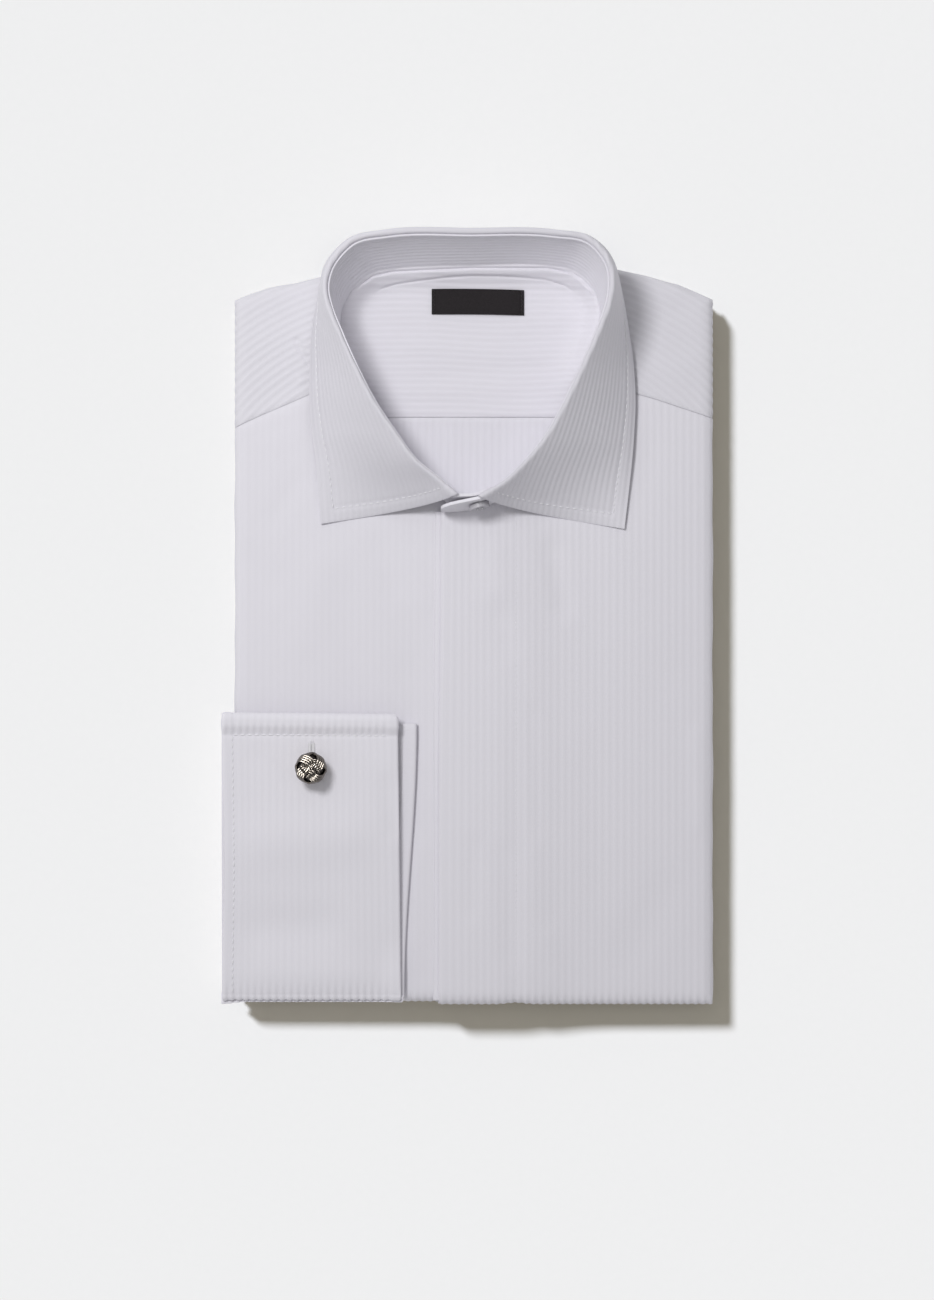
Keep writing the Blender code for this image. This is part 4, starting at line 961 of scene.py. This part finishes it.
def make_cuff():
    out_x, in_x, y_line, angle, upper_rows = cuff_lines()
    turned = angle / math.pi
    lower = smooth(turned, 0.3, 1)
    peek = lower * between(CUFF_PEEK, smooth(y_line, CUFF_LOOP, CUFF_LOW_TOP))
    radius = (CUFF_OUTER - CUFF_INNER) / 2
    free_share = lower * smooth(y_line, CUFF_LOOP + 2, CUFF_LOOP + 20)
    free = between((CUFF_FREE_EDGE, CUFF_LOW_FREE_EDGE), free_share)
    fold_x = np.interp(y_line, (CUFF_LOOP, CUFF_TOP), CUFF_FOLD) + peek - radius - CUFF_PLY / 2
    # Across: the outer layer, the fold at the side, and the inner layer back to its seam.
    xs, depths = [], []
    for x in out_x:
        stretch = (x - CUFF_FREE_EDGE) / (CUFF_GRID_SIDE - CUFF_FREE_EDGE)
        moved = x + (free - CUFF_FREE_EDGE) * (1 - smooth(stretch, 0, 0.35))
        xs.append(moved + (fold_x - 3 - CUFF_GRID_SIDE) * smooth(stretch, 0.6, 1))
        depths.append(CUFF_OUTER)
    for k in range(CUFF_TURN + 1):
        bend = math.pi / 2 - math.pi * k / CUFF_TURN
        xs.append(fold_x + radius * math.cos(bend))
        depths.append((CUFF_OUTER + CUFF_INNER) / 2 + radius * math.sin(bend))
    xs += [fold_x - inset for inset in (0.9, 2.4, 5)] + [np.full(len(y_line), x) for x in in_x]
    depths += [CUFF_INNER] * (len(xs) - len(depths))
    x, depth = np.array(xs), np.array(depths)[:, None]
    flat_y = np.repeat(y_line[None], len(x), axis=0)
    y = flat_y - depth * np.sin(angle)
    # The left edge bows a little, the top edge slants, and the turned-back half pokes out below.
    bow = 0.8 + 1.2 * bump(y_line + 108, 42)
    x = x + bow * (1 - smooth(x, CUFF_FREE_EDGE, CUFF_FREE_EDGE + 22)) * (1 - lower)
    y = y - (0.7 + 0.5 * smooth(x, -113, -32)) * smooth(y, -62, -46) * (1 - lower)
    corner = 1 - smooth(x, CUFF_FREE_EDGE + 1, CUFF_FREE_EDGE + 12)
    lip = bump(turned - 0.79, 0.1)
    pinch = bump(turned - 0.52, 0.12) * 1.8
    y = y + (pinch - lip * (1.5 + 0.8 * corner)) * (depth / CUFF_OUTER)
    on_outer = np.zeros(len(x))
    on_outer[: len(out_x)] = 1
    round_fold = slice(len(out_x), len(out_x) + CUFF_TURN + 1)
    on_outer[round_fold] = np.cos(math.pi * np.arange(CUFF_TURN + 1) / CUFF_TURN).clip(0) ** 2
    on_outer = on_outer[:, None] * (1 - (1 - np.cos(angle)) / 2)
    # The open edges are folded in: they roll down, and stand a little proud up to the stitching.
    free_d, top_d = x - free, CUFF_TOP - flat_y
    curl = 1.2 * rolled_down(np.minimum(free_d, top_d), 1.8)
    sunk = 1.9 * rolled_down(flat_y - CUFF_LOOP - 2, 13, 0.95)
    z = cuff_middle(x, flat_y) + depth * np.cos(angle)
    z = z + (creased(CREASES_CUFF, x, flat_y) - curl - sunk) * on_outer + 1.3 * lip
    z += 1.6 * smooth(x, -42, -30) * smooth(-flat_y, 145, 168)
    # The lower half sags at the side, where nothing holds it up.
    z -= 2.3 * smooth(x, -36, -29) * lower * smooth(flat_y, CUFF_LOOP + 6, -80)
    off_side = smooth(free_d, 0, 2)
    relief = 0.3 * off_side * (1 - smooth(free_d, 3.8, 6)) + 1.7 * off_side * (1 - smooth(top_d, 3.4, 8.6))
    relief -= 0.1 * bump(free_d - 5.8, 0.5) + 0.22 * bump(top_d - 8.8, 0.6)
    fold_share = np.sin(angle) * (angle < math.pi / 2)
    near_loop = 1 - smooth(flat_y, CUFF_LOOP + 3, CUFF_LOOP + 11)
    pleats = 0.012 + 0.2 * bump(top_d - 6, 2.6) + 0.2 * near_loop + 0.08 * smooth(fold_share, 0, 0.35)
    weave_x = np.concatenate([out_x, out_x[-1] + np.linspace(3.4, 6, CUFF_TURN + 4), 30 - in_x])[:, None]
    relief = relief * on_outer + pleats * stripes(weave_x) * np.maximum(on_outer, fold_share)
    steps_along = np.abs(np.diff(y_line)) + np.abs(np.diff(angle)) * CUFF_OUTER
    weave = grid_of(weave_x, np.concatenate([[0], np.cumsum(steps_along)]))
    mid_x, mid_y = [(table[:-1, :-1] + table[1:, 1:]) / 2 for table in (x, flat_y)]
    cells = (mid_x > HOLE_X[0]) & (mid_x < HOLE_X[1]) & (mid_y > HOLE_Y[0]) & (mid_y < HOLE_Y[1])
    # The grid's own normals point into the cuff, so the relief is turned round.
    places = grid_of(x, y, z)
    laid = lay_sheet("cuff_cloth", places, weave, cotton["cuff"], -relief, CUFF_PLY, True, cells, 0.2)
    return *laid, len(out_x), upper_rows


cuff, cuff_places, cuff_outer_columns, cuff_upper_rows = make_cuff()
print("cuff faces:", len(cuff.data.polygons))

# %% [markdown]
# The sleeve comes round the left side of the pile from behind and goes into the cuff. Pressed
# flat, it shows only as a narrow edge with soft wrinkles.

# %% Sleeve
SLEEVE_PATH = (
    # x, z below the cuff's middle, z above the table, how much of the second
    (-107.4, 0, 0, 0),
    (-109.2, -0.2, 0, 0),
    (-110.5, -1.3, 0, 0),
    (-111, -3, 13.5, 0.25),
    (-110.5, -6, 10.5, 1),
    (-109.8, -9, 7, 1),
    (-109.3, -12, 3.5, 1),
    (-109.4, -15, 0, 1),
)


def make_sleeve():
    rows = steps(-171, -42.8, 1.6)
    path = smooth_rows(SLEEVE_PATH, 4)
    across, below, above, down = path.T[..., None]
    near = cuff_middle(across, rows) + below
    z = near + (above - near) * np.clip(down, 0, 1)
    x = across + 0.35 * np.sin(rows * 0.16 + z * 0.3) * bump(z - 10, 6) * down
    run = np.concatenate([[0], np.cumsum(np.hypot(np.diff(path[:, 0]), 2.6))])
    places, weave = grid_of(x, rows, np.maximum(z, 0)), grid_of(run[:, None], rows)
    return lay_sheet("sleeve_cloth", places, weave, cotton["body"], None, 1.4, True, edge=0.35)[0]


sleeve = make_sleeve()
print("sleeve faces:", len(sleeve.data.polygons))

# %% [markdown]
# ## The folds behind
# The back, the tails and the other sleeve are folded under. All that shows of them is the
# pinched edge of three folds, so they share one soft pile. A UV sphere is a good start for it:
# it is closed at both poles, and each of its rings becomes one level of the pile.

# %% Folded layers
STACK_SIDE = (
    # z, inset
    (0, 2.2), (0.35, 0.9), (1.7, 0), (2.9, 0.5), (3.3, 1.5),
    (3.7, 0.5), (5, 0), (6.1, 0.5), (6.4, 1.9), (8.6, 2.2),
)
# Each level of the pile: height, share or inset, and whether that is a share of the pile's top.
LEVELS = [(0, 100, False), (0, 40, False)]
LEVELS += [(z, inset, False) for z, inset in smooth_rows([(a, b, 0) for a, b in STACK_SIDE], 3)[:, :2]]
LEVELS += [(-sunk, share, True) for share, sunk in ((0.965, 1.5), (0.9, 0.3), (0.7, 0), (0.4, 0), (0.15, 0))]


def pile_outline():
    corner = 3
    xs = steps(LEFT_SIDE + corner, RIGHT_SIDE - corner, 3.2)
    ys = steps(HEM_UNDER + corner, SHOULDER_LINE[0][1] - corner, 3.6)
    bottom, right = [(x, HEM_UNDER + 0.6) for x in xs], [(RIGHT_SIDE, y) for y in ys]
    top = [(x, float(read_line(SHOULDER_LINE, x)) - 0.6) for x in xs[::-1]]
    return np.array(bottom + right + top + [(LEFT_SIDE, y) for y in ys[::-1]])


def make_folded_layers():
    outline, middle = pile_outline(), np.array(PILE_MIDDLE, float)
    half = np.abs(outline - middle).max(axis=0)
    around, rings = len(outline), len(LEVELS) + 1
    pick()
    bpy.ops.mesh.primitive_uv_sphere_add(segments=around, ring_count=rings, radius=1)
    pile = bpy.context.object
    pile.name, mesh = "folded_layers_cloth", pile.data
    for vertex in mesh.vertices:
        x, y, z = vertex.co
        k = round((1 - math.acos(max(-1, min(1, z))) / math.pi) * rings)
        s = (round(math.atan2(y, x) % (2 * math.pi) / (2 * math.pi) * around) + round(around * 0.62)) % around
        if k in (0, rings):
            x, y = middle
            z = float(stack_top(x, y)) if k else 0
        else:
            z, inset, on_top = LEVELS[k - 1]
            shift = outline[s] - middle
            if on_top:
                x, y = middle + shift * inset
                z += float(stack_top(x, y))
            else:
                uneven = 0.35 * math.sin(s * 0.19 + z * 1.3) + 0.25 * math.sin(s * 0.07 - z * 0.9)
                uneven *= min(1, z / 1.5) if inset < 3 else 0
                x, y = middle + shift * (1 - (inset + max(0, uneven)) / half)
        vertex.co = (x * MM, y * MM, z * MM)
    face_outward(pile)
    mesh.shade_smooth()
    mesh.materials.append(pile_cotton)
    return pile


pile = make_folded_layers()
print("pile faces:", len(pile.data.polygons))

# %% [markdown]
# ## Label
# A narrow black tape with its ends turned under, sewn down at both ends. It carries nothing.
# It lies on the inner yoke, so its heights are the yoke's own, with a hair more.

# %% Label tape
LABEL_SIZE, LABEL_CENTRE = (42.5, 11.7), (5, 146)


def make_label():
    a, b = np.meshgrid(*[steps(-size / 2, size / 2, 0.35) for size in LABEL_SIZE], indexing="ij")
    # Sewn only at its ends, the tape bows a little between them.
    x = LABEL_CENTRE[0] + a
    y = LABEL_CENTRE[1] + b + 0.25 * (1 - (a / 21) ** 2) - 0.012 * a
    ends = LABEL_SIZE[0] / 2 - np.abs(a)
    z = inner_yoke_top(x, y) + 0.85 + 0.25 * smooth(ends, 1, 7) - 0.25 * bump(ends - 1.5, 0.6)
    return lay_sheet("label_tape", grid_of(x, y, z), grid_of(a, b), tape, None, 0.5, edge=0.15)


label, label_places = make_label()
print("label faces:", len(label.data.polygons))

# %% [markdown]
# ## Stitches
# One stitch is modelled from a small sphere, pulled out long, and then copied along each seam:
# down one side of the needle hole, a short gap, and on. Each row of stitches is one mesh.

# %% One stitch and its rows
def model_stitch():
    pick()
    bpy.ops.mesh.primitive_uv_sphere_add(segments=6, ring_count=5, radius=1)
    stitch = bpy.context.object
    edit(stitch, bpy.ops.transform.rotate, value=math.pi / 2, orient_axis="Y", center_override=(0, 0, 0))
    shape = np.array([v.co[:] for v in stitch.data.vertices])
    faces = [list(f.vertices) for f in stitch.data.polygons]
    bpy.data.objects.remove(stitch, do_unlink=True)
    return shape, faces


STITCH_SHAPE, STITCH_FACES = model_stitch()


def unit(vector):
    return vector / max(np.linalg.norm(vector), 1e-9)


def stitch_row(name, lines, pitch, gap, thick, thread=white_thread):
    """Rows of stitches, evenly spaced along lines of points, with the normal at each point."""
    vertices, faces = [], []
    for points, normals in lines:
        run = along_line(points)
        spots = np.linspace(0, run[-1], max(1, int(run[-1] / pitch)) + 1)
        stops, outs = [
            np.stack([np.interp(spots, run, table[:, k]) for k in range(3)], 1) for table in (points, normals)
        ]
        for a, b, out in zip(stops, stops[1:], outs):
            length = np.linalg.norm(b - a)
            along, out = (b - a) / length, unit(out)
            out = unit(out - along * (out @ along))
            side = np.cross(out, along)
            centre = (a + b) / 2 + out * thick * 0.35
            shape = STITCH_SHAPE * [(length - gap) / 2, thick, thick * 0.8]
            faces += [[v + len(vertices) for v in f] for f in STITCH_FACES]
            vertices += list(centre + shape[:, :1] * along + shape[:, 1:2] * side + shape[:, 2:] * out)
    mesh = bpy.data.meshes.new(name)
    mesh.from_pydata([tuple(v * MM) for v in vertices], [], faces)
    mesh.shade_smooth()
    piece = bpy.data.objects.new(name, mesh)
    bpy.context.scene.collection.objects.link(piece)
    face_outward(piece)
    mesh.materials.append(thread)
    return piece


def grid_line(places, columns, rows, face=1, lift=0):
    """Points and normals along fractional columns and rows of a sheet's places, lifted to its face."""
    columns, rows = np.broadcast_arrays(np.asarray(columns, float), np.asarray(rows, float))
    normal = normals_of(places) * face

    def read(values):
        i = np.clip(np.floor(columns).astype(int), 0, values.shape[0] - 2)
        j = np.clip(np.floor(rows).astype(int), 0, values.shape[1] - 2)
        a, b = (columns - i)[:, None], (rows - j)[:, None]
        low = values[i, j] * (1 - a) + values[i + 1, j] * a
        high = values[i, j + 1] * (1 - a) + values[i + 1, j + 1] * a
        return low * (1 - b) + high * b

    return read(places) + read(normal) * lift, read(normal)


def find(values, wanted):
    """Fractional index of a wanted value in a list that rises or falls."""
    index = np.arange(len(values))
    if values[0] > values[-1]:
        return np.interp(wanted, values[::-1], index[::-1])
    return np.interp(wanted, values, index)


print("faces in one stitch:", len(STITCH_FACES))

# %% Sew the rows
def yoke_rows():
    lines, xs = [], outer_yoke_places[:, 1, 0]
    for start, end in ((-104, -62), (73, 111)):
        columns = np.linspace(find(xs, start), find(xs, end), 60)
        columns = columns[outer_yoke_places[np.rint(columns).astype(int), 1, 2] > 8]
        lines.append(grid_line(outer_yoke_places, columns, 1.6))
    return stitch_row("yoke_seam_stitches", lines, 2, 0.4, 0.13)


def placket_row():
    column = find(front_left_places[:, 40, 0], PLACKET_STITCH)
    rows = np.linspace(len(ROLL), find(front_left_places[round(float(column)), :, 1], 50), 120)
    return stitch_row("placket_stitches", [grid_line(front_left_places, column, rows)], 2.4, 0.5, 0.13)


def leaf_rows():
    count, depth = leaf_places.shape[:2]
    across, down = np.arange(count), np.arange(depth)

    def from_end(lines):
        """Where a line leaves the band, counted from its first point."""
        found = [np.interp(LEAF_BAND, along_line(line)[1:], np.arange(1, len(line))) for line in lines]
        return np.array(found)

    edge_row = depth - 1 - from_end(leaf_places[:, ::-1])
    first = from_end(leaf_places.transpose(1, 0, 2))
    last = count - 1 - from_end(leaf_places.transpose(1, 0, 2)[:, ::-1])
    columns = np.linspace(first[-1], last[-1], 500)
    spots = [(columns, np.interp(columns, across, edge_row))]
    for ends in (first, last):
        rows = np.linspace(LEAF_START + 1, float(np.interp(ends[-1], across, edge_row)), 90)
        spots.append((np.interp(rows, down, ends), rows))
    lines = [grid_line(leaf_places, *spot, 1, COLLAR_WALL / 2) for spot in spots]
    return stitch_row("leaf_stitches", lines, 3.2, 1.2, 0.3)


cuff_xs, cuff_ys = cuff_places[:cuff_outer_columns, 30, 0], cuff_places[40, :cuff_upper_rows, 1]


def cuff_rows():
    left, top = find(cuff_xs, CUFF_FREE_EDGE + 5.6), find(cuff_ys, CUFF_TOP - 9)
    rows = np.linspace(top, cuff_upper_rows + 12, 160)
    columns = np.linspace(left, cuff_outer_columns - 3, 120)
    lines = [grid_line(cuff_places, *spot, -1, CUFF_PLY / 2) for spot in ((left, rows), (columns, top))]
    return stitch_row("cuff_stitches", lines, 3.2, 1, 0.34)


def label_rows():
    lines = []
    for column, sign in ((3, 1), (label_places.shape[0] - 4, -1)):
        shift = np.where(np.arange(15) % 2 == 0, -1.6, 1.6) * sign
        lines.append(grid_line(label_places, column + shift, np.linspace(1, label_places.shape[1] - 2, 15)))
    return stitch_row("label_stitches", lines, 1, 0.12, 0.14, black_thread)


yoke_stitches, placket_stitches, leaf_stitches = yoke_rows(), placket_row(), leaf_rows()
cuff_stitches, label_stitches = cuff_rows(), label_rows()
stitch_rows = (yoke_stitches, placket_stitches, leaf_stitches, cuff_stitches, label_stitches)
print("stitch rows:", [row.name for row in stitch_rows])

# %% [markdown]
# The buttonhole in the cuff is bound all round with close stitches, which is what keeps the cut
# cloth from fraying. They are the same stitch, laid across the edge of the slot.

# %% Buttonhole binding
def make_buttonhole():
    up = np.array([[0, 0, 1], [0, 0, 1]])
    low, high = HOLE_Y

    def heights(xs, y):
        return grid_line(cuff_places, find(cuff_xs, xs), find(cuff_ys, y), -1)[0]

    lines = []
    for y in np.arange(low - 0.2, high + 0.3, 0.36):
        for side in (-1, 1):
            spots = LINK[0] + side * np.array([-0.15, 1.75])
            points = heights(spots, y) + [0, 0, CUFF_PLY / 2 + 0.12]
            points[:, 0] = spots
            lines.append((points, up))
    for y, half_turn in ((low - 0.3, -1), (high + 0.3, 1)):
        for k in range(5):
            angle = math.pi * k / 4 * half_turn
            aim = np.array([math.cos(angle), math.sin(angle), 0])
            points = np.array([LINK[0], y, 0]) + aim * np.array([[0.35], [1.6]])
            points[:, 2] = heights(points[:, 0], y)[:, 2].max() + CUFF_PLY / 2 + 0.1
            lines.append((points, up))
    return stitch_row("buttonhole_stitches", lines, 9, 0, 0.2)


buttonhole = make_buttonhole()
print("buttonhole faces:", len(buttonhole.data.polygons))

# %% [markdown]
# ## Cufflink
# A wire knot is a Turk's head: one band of four wires goes three times round the ball and
# swings over and under itself four times a turn. Each wire starts as a circle, is laid on the
# band's path, is made a curve to get its round section, and is made a mesh again.

# %% Wire knot
KNOT_RADIUS, KNOT_TURNS, KNOT_BIGHTS, KNOT_SWING = 8, 3, 4, 1.22
WIRE, KNOT_TURNED = 0.6, 36  # radius of one wire, and how far the pinwheel is turned
KNOT_CENTRE = np.array([LINK[0], LINK[1], 0.0])
KNOT_CENTRE[2] = float(np.mean([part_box("cufflink_knot")[0][2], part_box("cufflink_knot")[1][2]])) * 1000


def knot_path(t, shift):
    """A place on the band: shift moves it sideways, and over lifts it where it crosses on top."""
    def direction(s):
        polar = math.pi / 2 + KNOT_SWING * np.cos(KNOT_BIGHTS * s / KNOT_TURNS)
        turned = s + math.radians(KNOT_TURNED)
        return np.stack([np.sin(polar) * np.cos(turned), np.sin(polar) * np.sin(turned), np.cos(polar)], -1)

    out = direction(t)
    ahead = direction(t + 0.01) - out
    ahead /= np.linalg.norm(ahead, axis=-1, keepdims=True)
    side = np.cross(out, ahead)
    over = np.sin(2 * KNOT_BIGHTS * t / KNOT_TURNS)
    place = out + side * (shift / KNOT_RADIUS)
    place /= np.linalg.norm(place, axis=-1, keepdims=True)
    return place * (KNOT_RADIUS - WIRE - 0.85 + 0.85 * over)[..., None]


def make_knot():
    wires = []
    for shift in (-1.5, -0.5, 0.5, 1.5):
        pick()
        bpy.ops.mesh.primitive_circle_add(vertices=300, radius=1)
        wire = bpy.context.object
        t = np.arange(300) / 300 * 2 * math.pi * KNOT_TURNS
        for vertex, spot in zip(wire.data.vertices, knot_path(t, shift * WIRE * 2.05)):
            vertex.co = (KNOT_CENTRE + spot) * MM
        bpy.ops.object.convert(target="CURVE")
        wire.data.bevel_depth = WIRE * MM
        wire.data.bevel_resolution = 2
        bpy.ops.object.convert(target="MESH")
        wires.append(bpy.context.object)
    pick(*wires)
    bpy.ops.object.join()
    knot = bpy.context.object
    knot.name = "knot_wires"
    edit(knot, bpy.ops.mesh.remove_doubles, threshold=0.000001)
    face_outward(knot)
    knot.data.shade_smooth()
    knot.data.materials.clear()
    knot.data.materials.append(knot_silver)
    return knot


def make_knot_core():
    # A near-black ball inside the knot, which paints the shadow seen in the gaps between the bands.
    pick()
    radius = (KNOT_RADIUS - 2.3) * MM
    bpy.ops.mesh.primitive_ico_sphere_add(subdivisions=4, radius=radius, location=tuple(KNOT_CENTRE * MM))
    core = bpy.context.object
    core.name = "knot_core"
    edit(core, bpy.ops.transform.vertex_random, offset=0.00004, seed=3)
    bpy.ops.object.transform_apply(location=True, rotation=True, scale=True)
    core.data.shade_smooth()
    core.data.materials.append(core_painted_shadow)
    return core


knot = make_knot()
knot_core = make_knot_core()
print("knot faces:", len(knot.data.polygons), "centre:", KNOT_CENTRE.round(2).tolist())

# %% [markdown]
# The button keeps its own solid, with a pearly finish painted grey as painted shade, and gets the thread that
# holds it: two bars through each pair of holes. The post and bar of the cufflink only need their metal.

# %% Button thread and plain nodes
for name, material in (("collar_button", button_pearl_painted_grey), ("cufflink_bar", knot_silver)):
    piece = bpy.data.objects[name]
    for slot in piece.material_slots:
        slot.material = material
    if not piece.material_slots:
        piece.data.materials.append(material)


def sew_button():
    low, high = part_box("collar_button")
    centre = (np.array(low) + np.array(high)) / 2 * 1000
    x, y, z, foot_x, foot_y = OVER_TAB[0]
    up = unit(np.array([x, y, z]) - [foot_x, foot_y, foot_height(OVER_TAB[0], False)])
    along = unit(np.array([9, 2.4, 0]))
    out = np.cross(along, up)
    out *= -np.sign(out[1])
    bars = []
    for side in (-1, 1):
        ends = [centre + out * 1.15 + along * side * 1.06 + up * k for k in (-1.06, 1.06)]
        bars.append((np.array(ends), np.array([out, out])))
    return stitch_row("button_thread", bars, 9, -0.5, 0.3)


button_thread = sew_button()
print("button thread faces:", len(button_thread.data.polygons))

# %% [markdown]
# ## What each piece is
# Every new piece rides on the shirt's one body, and each cloth piece and the knot hides the solid it stands
# for. The cloth pieces also print the size they were cut to before they were folded.

# %% Ride and replace
PILE_NODE = ["folded_layers"]
cloth_pieces = (
    # piece, node, width, length, share that the cut fills, rests on
    (front_left, "front_left", 0.146, 0.306, 0.8, ["front_right"] + PILE_NODE),
    (front_right, "front_right", 0.147, 0.306, 0.79, PILE_NODE),
    (fly_strip, "fly_placket", 0.035, 0.226, 1, ["front_right"]),
    (back, "back_panel", 0.203, 0.262, 1, PILE_NODE),
    (outer_yoke, "yoke_outer", 0.232, 0.077, 0.52, PILE_NODE),
    (inner_yoke, "yoke_inner", 0.125, 0.08, 0.78, PILE_NODE),
    (stand, "collar_stand", 0.45, 0.034, 0.8, ["front_right", "yoke_outer"]),
    (leaf, "collar_leaf", 0.47, 0.062, 0.6, ["collar_stand", "front_left", "front_right"]),
    (cuff, "cuff_right", 0.178, 0.272, 0.9, ["front_right", "cufflink_bar"]),
    (sleeve, "sleeve_right", 0.026, 0.132, 1, PILE_NODE),
    (pile, "folded_layers", 0.2207, 0.3405, 1, []),
    (label, "label", 0.0425, 0.012, 1, ["yoke_inner"]),
)
trims = {
    front_left: [placket_stitches],
    outer_yoke: [yoke_stitches],
    leaf: [leaf_stitches],
    cuff: [cuff_stitches, buttonhole],
    label: [label_stitches],
    stand: [button_thread],
}


def belongs(pieces):
    for piece in pieces:
        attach(piece, "root")


for piece, node, width, length, share, rests_on in cloth_pieces:
    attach(piece, "root")
    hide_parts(node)
    half = sum(face.area for face in piece.data.polygons) / 2
    print(piece.name, "cloth:", round(half, 5), "cut:", round(width * length * share, 5))
belongs((knot, knot_core))
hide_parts("cufflink_knot")
for extras in trims.values():
    belongs(extras)

# %% [markdown]
# ## Floor, light and camera
# A plain pale floor. One soft lamp stands at the upper left, and the room's light fills in from
# all round, so that white cloth keeps its shape without hard contrast. A second lamp lights
# the floor alone, so that the shirt's shadow on it stays crisp.

# %% Floor and lights
FLOOR_TINT = (0.728, 0.6825, 0.577)
KNOT_LAMPS = (
    # degrees round, power, how steeply it shines down
    (135, 1.3, 0.75), (60, 1.1, 0.4), (0, 0.8, 0.5), (180, 1.6, 0.15), (265, 0.9, 0.2),
)


def make_floor():
    pick()
    bpy.ops.mesh.primitive_plane_add(size=6, location=(0, 0, -0.0002))
    floor = bpy.context.object
    floor.name = "floor"
    bpy.ops.object.transform_apply(location=True, rotation=True, scale=True)
    finish = Finish("pale_floor")
    grain = finish.noise(300, 2)
    colour = finish.mix(grain, shaded(FLOOR_TINT, 0.99), shaded(FLOOR_TINT, 1.01))
    floor.data.materials.append(finish.done(colour, 0.95, Specular_IOR_Level=0))
    return floor


def collect(name, pieces):
    chosen = bpy.data.collections.new(name)
    for piece in pieces:
        chosen.objects.link(piece)
    return chosen


def aim_lamp(name, kind, energy, towards, distance, lights, colour=(1, 1, 1)):
    """A lamp whose light travels in the direction given, through the middle of the shirt.
    It lights only the pieces given; everything still casts a shadow on them."""
    data = bpy.data.lights.new(name, kind)
    data.energy = energy
    data.color = colour
    lamp = bpy.data.objects.new(name, data)
    bpy.context.scene.collection.objects.link(lamp)
    heading = np.array(towards) / np.linalg.norm(towards)
    lamp.location = tuple(-heading * distance)
    lamp.rotation_euler = Vector(heading).to_track_quat("-Z", "Y").to_euler()
    lamp.light_linking.receiver_collection = collect(name + "_lights", lights)
    return lamp


floor = make_floor()
shirt_pieces = [o for o in bpy.context.scene.objects if o.type == "MESH" and o is not floor]
key = aim_lamp("key_lamp", "AREA", 7.15, (0.375, -0.4, -1), 1.2, shirt_pieces)
key.data.shape = "DISK"
key.data.size = 0.3
top_lamp = aim_lamp("top_lamp", "AREA", 1.1, (0.2, 0, -1), 1.6, shirt_pieces)
top_lamp.data.shape = "SQUARE"
top_lamp.data.size = 0.7
floor_lamp = aim_lamp("floor_lamp", "SUN", 5.97, (0.85, -1.02, -1), 2, [floor], (0.717, 0.789, 1))
floor_lamp.data.angle = math.radians(10)
body = (front_left, front_right, outer_yoke, pile)
floor_lamp.light_linking.blocker_collection = collect("floor_lamp_blockers", body)
for k, (turned, power, drop) in enumerate(KNOT_LAMPS):
    turned = math.radians(turned)
    towards = (-math.cos(turned), -math.sin(turned), -drop)
    knot_lamp = aim_lamp(f"knot_lamp_{k}", "AREA", power, towards, 0.3, [knot])
    knot_lamp.location += Vector((LINK[0] * MM, LINK[1] * MM, 0.025))
    knot_lamp.data.size = 0.11

world = bpy.data.worlds.new("room_light")
bpy.context.scene.world = world
world.use_nodes = True
room = world.node_tree.nodes["Background"].inputs
room["Color"].default_value = (1, 1, 1, 1)
room["Strength"].default_value = 0.365
bpy.context.scene.view_settings.view_transform = "Standard"

# %% [markdown]
# The camera looks straight down from two metres, with the collar at the top of the picture.

# %% Camera
camera_data = bpy.data.cameras.new("camera")
camera_data.sensor_fit = "VERTICAL"
camera_data.sensor_height = 24
camera_data.angle_y = 2 * math.atan(0.299 / 1.985)
camera_data.clip_end = 20
camera = bpy.data.objects.new("camera", camera_data)
camera.location = (0, -0.014, 2)
bpy.context.scene.collection.objects.link(camera)
bpy.context.scene.camera = camera
